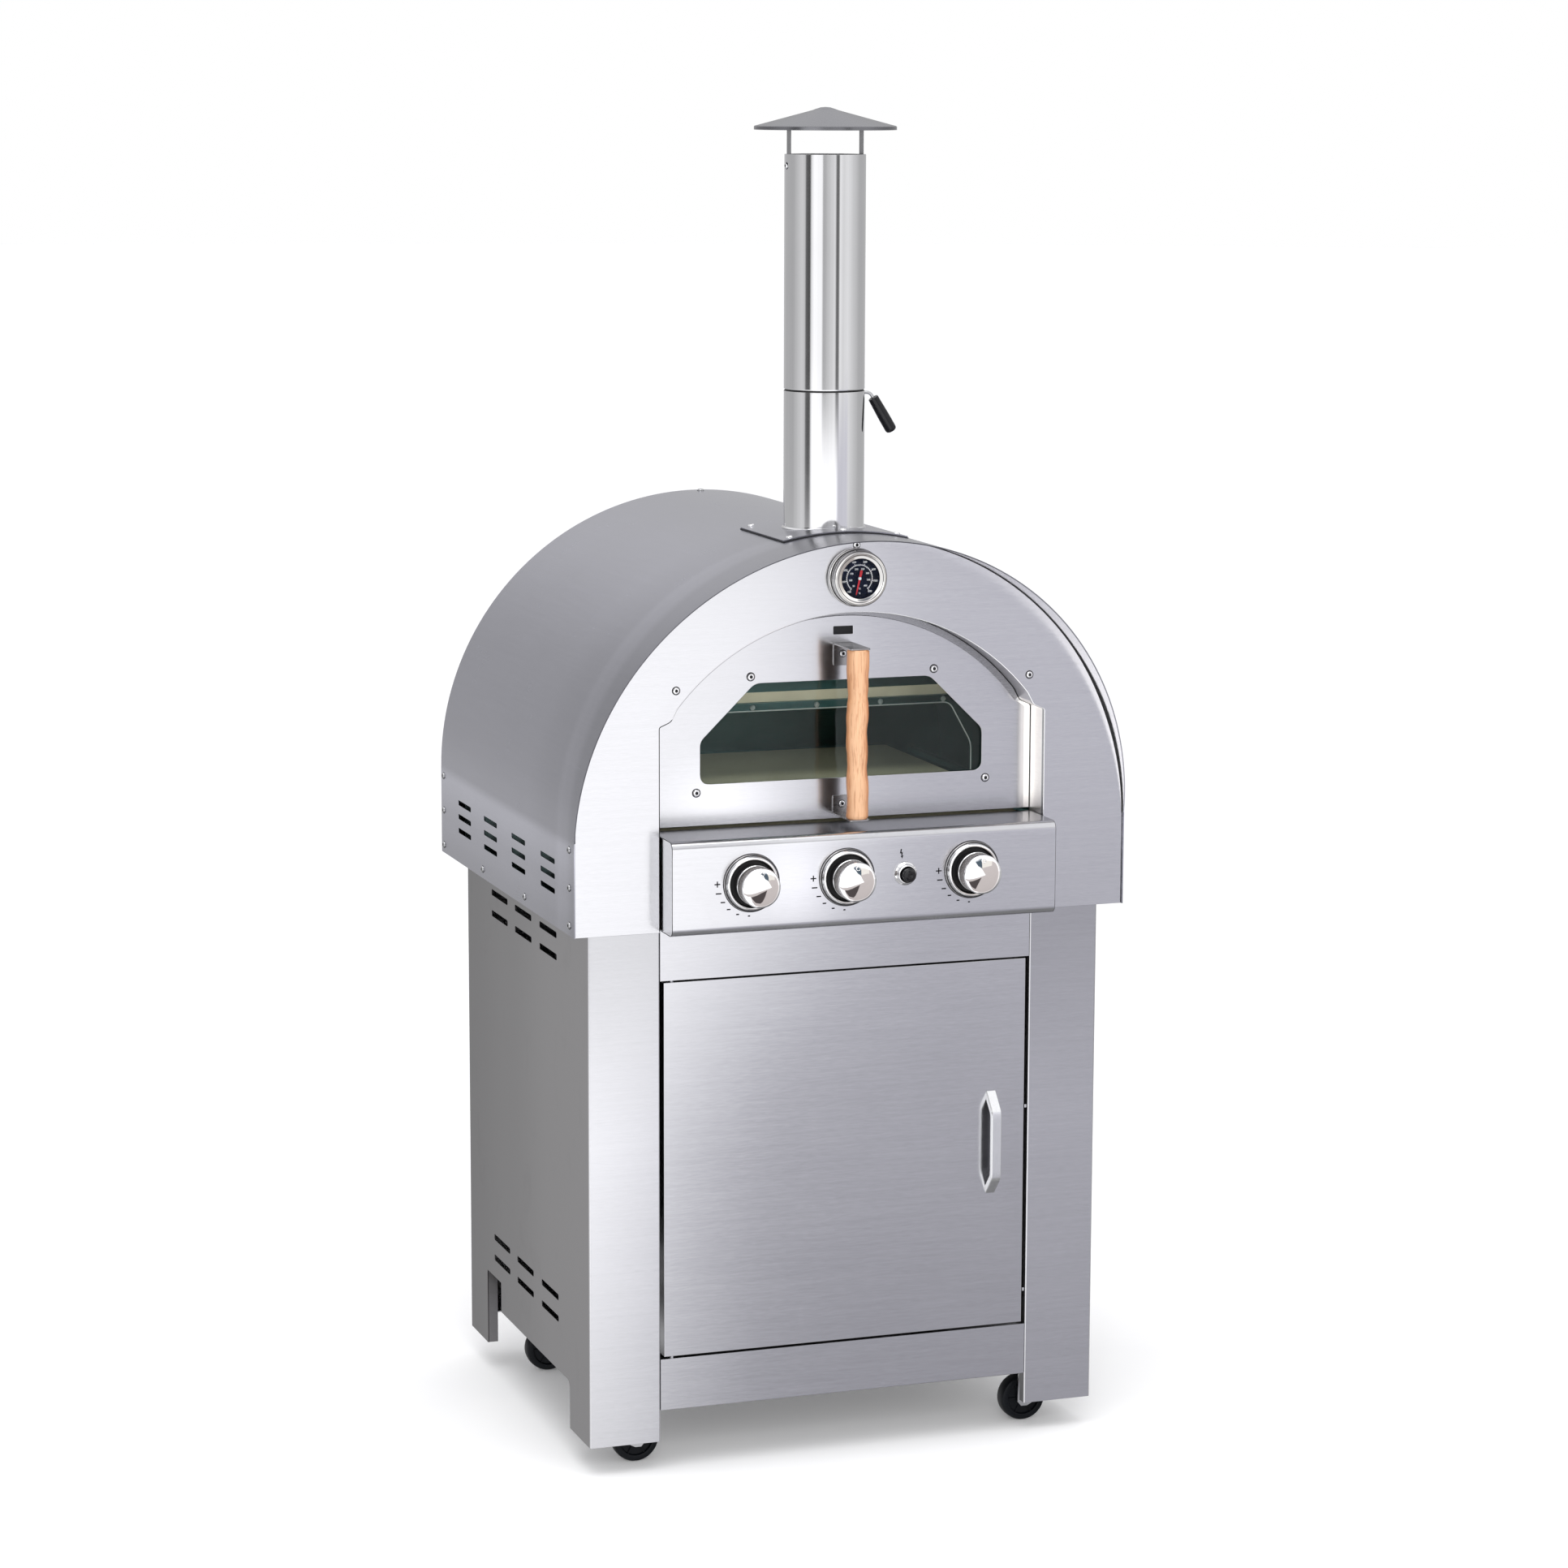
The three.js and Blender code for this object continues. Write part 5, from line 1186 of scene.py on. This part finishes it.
for nm, mat in LOOKS.items():
    ob = N[nm]
    ob.data.materials.clear()
    ob.data.materials.append(mat)
    if nm in ("pizza_stone", "front_top_rail", "front_bottom_rail", "cabinet_door", "cabinet_back_panel", "rear_panel"):
        wl = ob.modifiers.new("weld", "WELD")
        wl.merge_threshold = 0.00002
        bv = ob.modifiers.new("bevel", "BEVEL")
        bv.width = 0.0028 if nm == "pizza_stone" else 0.0005
        bv.segments = 2
        bv.limit_method = "ANGLE"
        bv.angle_limit = math.radians(50)
        bv.harden_normals = False
        wn = ob.modifiers.new("weighted", "WEIGHTED_NORMAL")
        wn.mode, wn.keep_sharp = "FACE_AREA", True

# ---------------------------------------------------------------- floor, light
floor_me = bpy.data.meshes.new("floor")
bm = bmesh.new()
ring0 = [bm.verts.new((40 * math.cos(2 * PI * i / 64), 40 * math.sin(2 * PI * i / 64), 0)) for i in range(64)]
bm.faces.new(ring0)
bm.to_mesh(floor_me)
bm.free()
floor = bpy.data.objects.new("floor", floor_me)
bpy.context.scene.collection.objects.link(floor)
g = Graph("floor_paint")
nz = g.noise(g.coord(), 6.0, 3.0, 0.5)
g.set(Base_Color=g.mix(g.span(nz, 0.3, 0.7, 0, 1), (0.865, 0.865, 0.87), (0.885, 0.885, 0.885)), Roughness=0.9)
g.bs.inputs["Specular IOR Level"].default_value = 0.1
g.bs.inputs["Emission Color"].default_value = (1, 1, 1, 1)
g.bs.inputs["Emission Strength"].default_value = 0.12
floor_me.materials.append(g.mat)
floor.visible_glossy = False

world = bpy.data.worlds.new("studio")
bpy.context.scene.world = world
world.use_nodes = True
nt = world.node_tree
nt.nodes.clear()


class WG(Graph):
    def __init__(self, nt_):
        self.nt = nt_


w = WG(nt)
geo = w.node("ShaderNodeTexCoord").outputs["Generated"]
sep = w.node("ShaderNodeSeparateXYZ")
w.link(geo, sep.inputs[0])
X_, Y_, Z_ = sep.outputs
# azimuth from the front (-Y) towards +X, as a turn from 0 to 1 with 0.5 straight ahead of the oven's front
az = w.math("ADD", w.math("MULTIPLY", w.math("ARCTAN2", X_, w.math("MULTIPLY", Y_, -1.0)), 1 / (2 * PI)), 0.5)
el = w.math("MULTIPLY", w.math("ARCSINE", Z_), 180 / PI)


def band_ramp(stops):
    # stops: (azimuth in degrees from the front, brightness)
    lst = [((d + 180) / 360, (v, v, v * 1.01)) for d, v in stops]
    return w.ramp(az, lst)


# studio seen by level and rising reflections: softboxes, gaps and flags
upper = band_ramp([(-180, 0.62), (-165, 0.56), (-120, 0.55), (-88, 0.85), (-78, 0.75), (-74, 0.16), (-62, 0.10), (-58, 1.05), (-50, 1.45), (-28, 1.35), (-24, 0.55), (-12, 0.72), (10, 1.0), (14, 0.20), (20, 0.18),
                   (24, 1.15), (34, 0.95), (50, 1.05), (66, 0.85), (95, 0.58), (130, 0.55), (180, 0.62)])
# seen by reflections that dip below the horizon: bright to the front left, grey to the right, dark at the back
lower = band_ramp([(-180, 0.62), (-150, 0.62), (-100, 0.8), (-60, 1.3), (-10, 1.75), (13, 1.75), (22, 0.66), (60, 0.60), (120, 0.62), (180, 0.62)])
mixf = w.span(el, -7.5, -5.0, 0.0, 1.0, smooth=True)
near = w.mix(mixf, lower, upper)
deep = w.span(el, -40.0, -12.0, 0.45, 1.0, smooth=True)
vm = w.node("ShaderNodeVectorMath", operation="SCALE")
w.link(near, vm.inputs[0])
w.link(deep, vm.inputs["Scale"])
top = w.mix(w.span(el, 10.0, 36.0, 0.0, 1.0, smooth=True), vm.outputs[0], (1.08, 1.08, 1.10))
lp = w.node("ShaderNodeLightPath")
bg = w.node("ShaderNodeBackground")
bg2 = w.node("ShaderNodeBackground")
bg2.inputs["Color"].default_value = (1, 1, 1, 1)
bg2.inputs["Strength"].default_value = 1.0
ms = w.node("ShaderNodeMixShader")
wo = w.node("ShaderNodeOutputWorld")
w.link(top, bg.inputs["Color"])
bg.inputs["Strength"].default_value = 1.0
w.link(lp.outputs["Is Camera Ray"], ms.inputs[0])
w.link(bg.outputs[0], ms.inputs[1])
w.link(bg2.outputs[0], ms.inputs[2])
w.link(ms.outputs[0], wo.inputs[0])


# a large white card stands in front of the oven, left of its middle, with a soft slanting right edge
card_me = bpy.data.meshes.new("card")
bm = bmesh.new()
cy = -1.768
bm.faces.new([bm.verts.new(q) for q in ((-2.6, cy, -1.2), (2.2, cy, -1.2), (2.2, cy, 1.7), (-2.6, cy, 1.7))])
bm.to_mesh(card_me)
bm.free()
card = bpy.data.objects.new("card", card_me)
bpy.context.scene.collection.objects.link(card)
g = Graph("card_light")
g.nt.nodes.remove(g.bs)
sp_ = g.node("ShaderNodeSeparateXYZ")
g.link(g.coord(), sp_.inputs[0])
cx_, cz_ = sp_.outputs[0], sp_.outputs[2]
edge_ = g.span(cz_, -0.05, 0.62, 0.22, 0.50, smooth=True)
left_ = g.span(g.math("SUBTRACT", cx_, edge_), -0.12, 0.16, 1.0, 0.0, smooth=True)
right_lum = g.span(cz_, -0.5, 0.9, 0.44, 0.84)
left_lum = g.span(cz_, -0.7, 0.1, 1.0, 1.60, smooth=True)
lum = g.math("ADD", g.math("MULTIPLY", left_, left_lum), g.math("MULTIPLY", g.math("SUBTRACT", 1.0, left_), right_lum))
em = g.node("ShaderNodeEmission")
g.link(lum, em.inputs["Strength"])
g.link(g.mix(left_, (0.975, 0.97, 1.06), (1.0, 1.0, 1.01)), em.inputs["Color"])
tr = g.node("ShaderNodeBsdfTransparent")
fade = g.math("MULTIPLY", g.math("MULTIPLY", g.span(cx_, -2.6, -2.1, 0.0, 1.0, smooth=True), g.span(cx_, 1.7, 2.2, 1.0, 0.0, smooth=True)),
              g.math("MULTIPLY", g.span(cz_, -1.2, -0.9, 0.0, 1.0, smooth=True), g.span(cz_, 1.06, 1.24, 1.0, 0.0, smooth=True)))
mx = g.node("ShaderNodeMixShader")
g.link(fade, mx.inputs[0])
g.link(tr.outputs[0], mx.inputs[1])
g.link(em.outputs[0], mx.inputs[2])
g.link(mx.outputs[0], g.out.inputs[0])
card_me.materials.append(g.mat)
g.mat.cycles.emission_sampling = "NONE"
card.visible_camera = card.visible_diffuse = card.visible_transmission = card.visible_shadow = False

# the polished fittings see a softbox with dark gaps and a warm wall instead of the plain card
set_me = bpy.data.meshes.new("softbox_set")
bm = bmesh.new()
cy = -1.700
bm.faces.new([bm.verts.new(q) for q in ((-2.8, cy, -1.5), (2.5, cy, -1.5), (2.5, cy, 2.2), (-2.8, cy, 2.2))])
bm.to_mesh(set_me)
bm.free()
softbox = bpy.data.objects.new("softbox_set", set_me)
bpy.context.scene.collection.objects.link(softbox)
g = Graph("softbox_light")
g.nt.nodes.remove(g.bs)
sp_ = g.node("ShaderNodeSeparateXYZ")
g.link(g.coord(), sp_.inputs[0])
cx_, cz_ = sp_.outputs[0], sp_.outputs[2]


def inside(pts, soft=0.012):
    # pts run anticlockwise seen with x to the right and z up
    f = None
    for (x0, z0), (x1, z1) in zip(pts, pts[1:] + pts[:1]):
        dx, dz = x1 - x0, z1 - z0
        ln = math.hypot(dx, dz)
        nx, nz = -dz / ln, dx / ln
        d = g.math("ADD", g.math("ADD", g.math("MULTIPLY", cx_, nx), g.math("MULTIPLY", cz_, nz)), -(nx * x0 + nz * z0))
        k = g.span(d, -soft, soft, 0.0, 1.0, smooth=True)
        f = k if f is None else g.math("MULTIPLY", f, k)
    return f


col = g.mix(g.span(cz_, -0.6, 1.2, 0.0, 1.0), (0.66, 0.60, 0.585), (0.78, 0.71, 0.69))
col = g.mix(inside([(0.58, 0.76), (1.05, 0.80), (1.5, 1.5), (0.55, 1.5)]), col, (1.1, 1.05, 0.98))
col = g.mix(inside([(0.755, 0.48), (0.25, 1.17), (-0.1, 1.65), (-2.8, 1.65), (-2.8, -0.20)]), col, (1.55, 1.55, 1.55))
col = g.mix(inside([(-0.15, 0.19), (-2.8, -0.3), (-2.8, -1.2), (0.0, -1.2)]), col, (1.35, 1.35, 1.38))
col = g.mix(inside([(-0.15, 0.17), (0.07, -0.20), (0.33, -0.26), (0.55, 0.39)]), col, (0.10, 0.085, 0.085))
col = g.mix(inside([(0.22, 1.14), (0.43, 0.82), (0.58, 0.74), (0.60, 1.35), (0.22, 1.35)]), col, (0.11, 0.15, 0.19))
em = g.node("ShaderNodeEmission")
g.link(col, em.inputs["Color"])
tr = g.node("ShaderNodeBsdfTransparent")
mx = g.node("ShaderNodeAddShader")
g.link(tr.outputs[0], mx.inputs[0])
g.link(em.outputs[0], mx.inputs[1])
g.link(mx.outputs[0], g.out.inputs[0])
g.mat.cycles.emission_sampling = "NONE"
set_me.materials.append(g.mat)
softbox.visible_camera = softbox.visible_diffuse = softbox.visible_transmission = softbox.visible_shadow = False
shiny = bpy.data.collections.new("sees_softbox")
not_card = bpy.data.collections.new("skips_card")
for ob in bpy.context.scene.objects:
    if ob.name.startswith(("bezel_ring", "control_knob", "igniter", "thermometer_body")):
        shiny.objects.link(ob)
        not_card.objects.link(ob)
    elif ob.name in ("oven_door_glass", "dial_cover"):
        not_card.objects.link(ob)
for q in not_card.collection_objects:
    q.light_linking.link_state = "EXCLUDE"
softbox.light_linking.receiver_collection = shiny
card.light_linking.receiver_collection = not_card


def lamp(name, loc, target, size, power, size_y=None, color=(1, 1, 1)):
    ld = bpy.data.lights.new(name, "AREA")
    ld.energy = power
    ld.color = color
    ld.size = size
    if size_y:
        ld.shape = "RECTANGLE"
        ld.size_y = size_y
    lo = bpy.data.objects.new(name, ld)
    lo.location = loc
    lo.rotation_mode = "QUATERNION"
    lo.rotation_quaternion = (Vector(target) - Vector(loc)).to_track_quat("-Z", "Y")
    bpy.context.scene.collection.objects.link(lo)
    return lo


lamp("overhead", (-0.6, -1.2, 4.2), (0, 0, 0.6), 3.0, 60)
key = lamp("key", (-0.9, -3.6, 2.0), (0, -0.3, 0.9), 1.2, 36)
key.visible_glossy = False
# small lamp inside the vault so that the stone and the baffle read through the glass
lamp("vault_lamp", tuple(W(0, 95, ZB + 400)), tuple(W(0, 330, ZB + 150)), 0.30, 0.6, 0.06, (1.0, 0.99, 0.93))
lamp("cavity_lamp", tuple(W(0, 400, ZB + 330)), tuple(W(0, 385, ZB + 130)), 0.30, 0.12, 0.20, (1.0, 0.99, 0.95))

bpy.context.scene.view_settings.view_transform = "Standard"
bpy.context.scene.view_settings.look = "None"
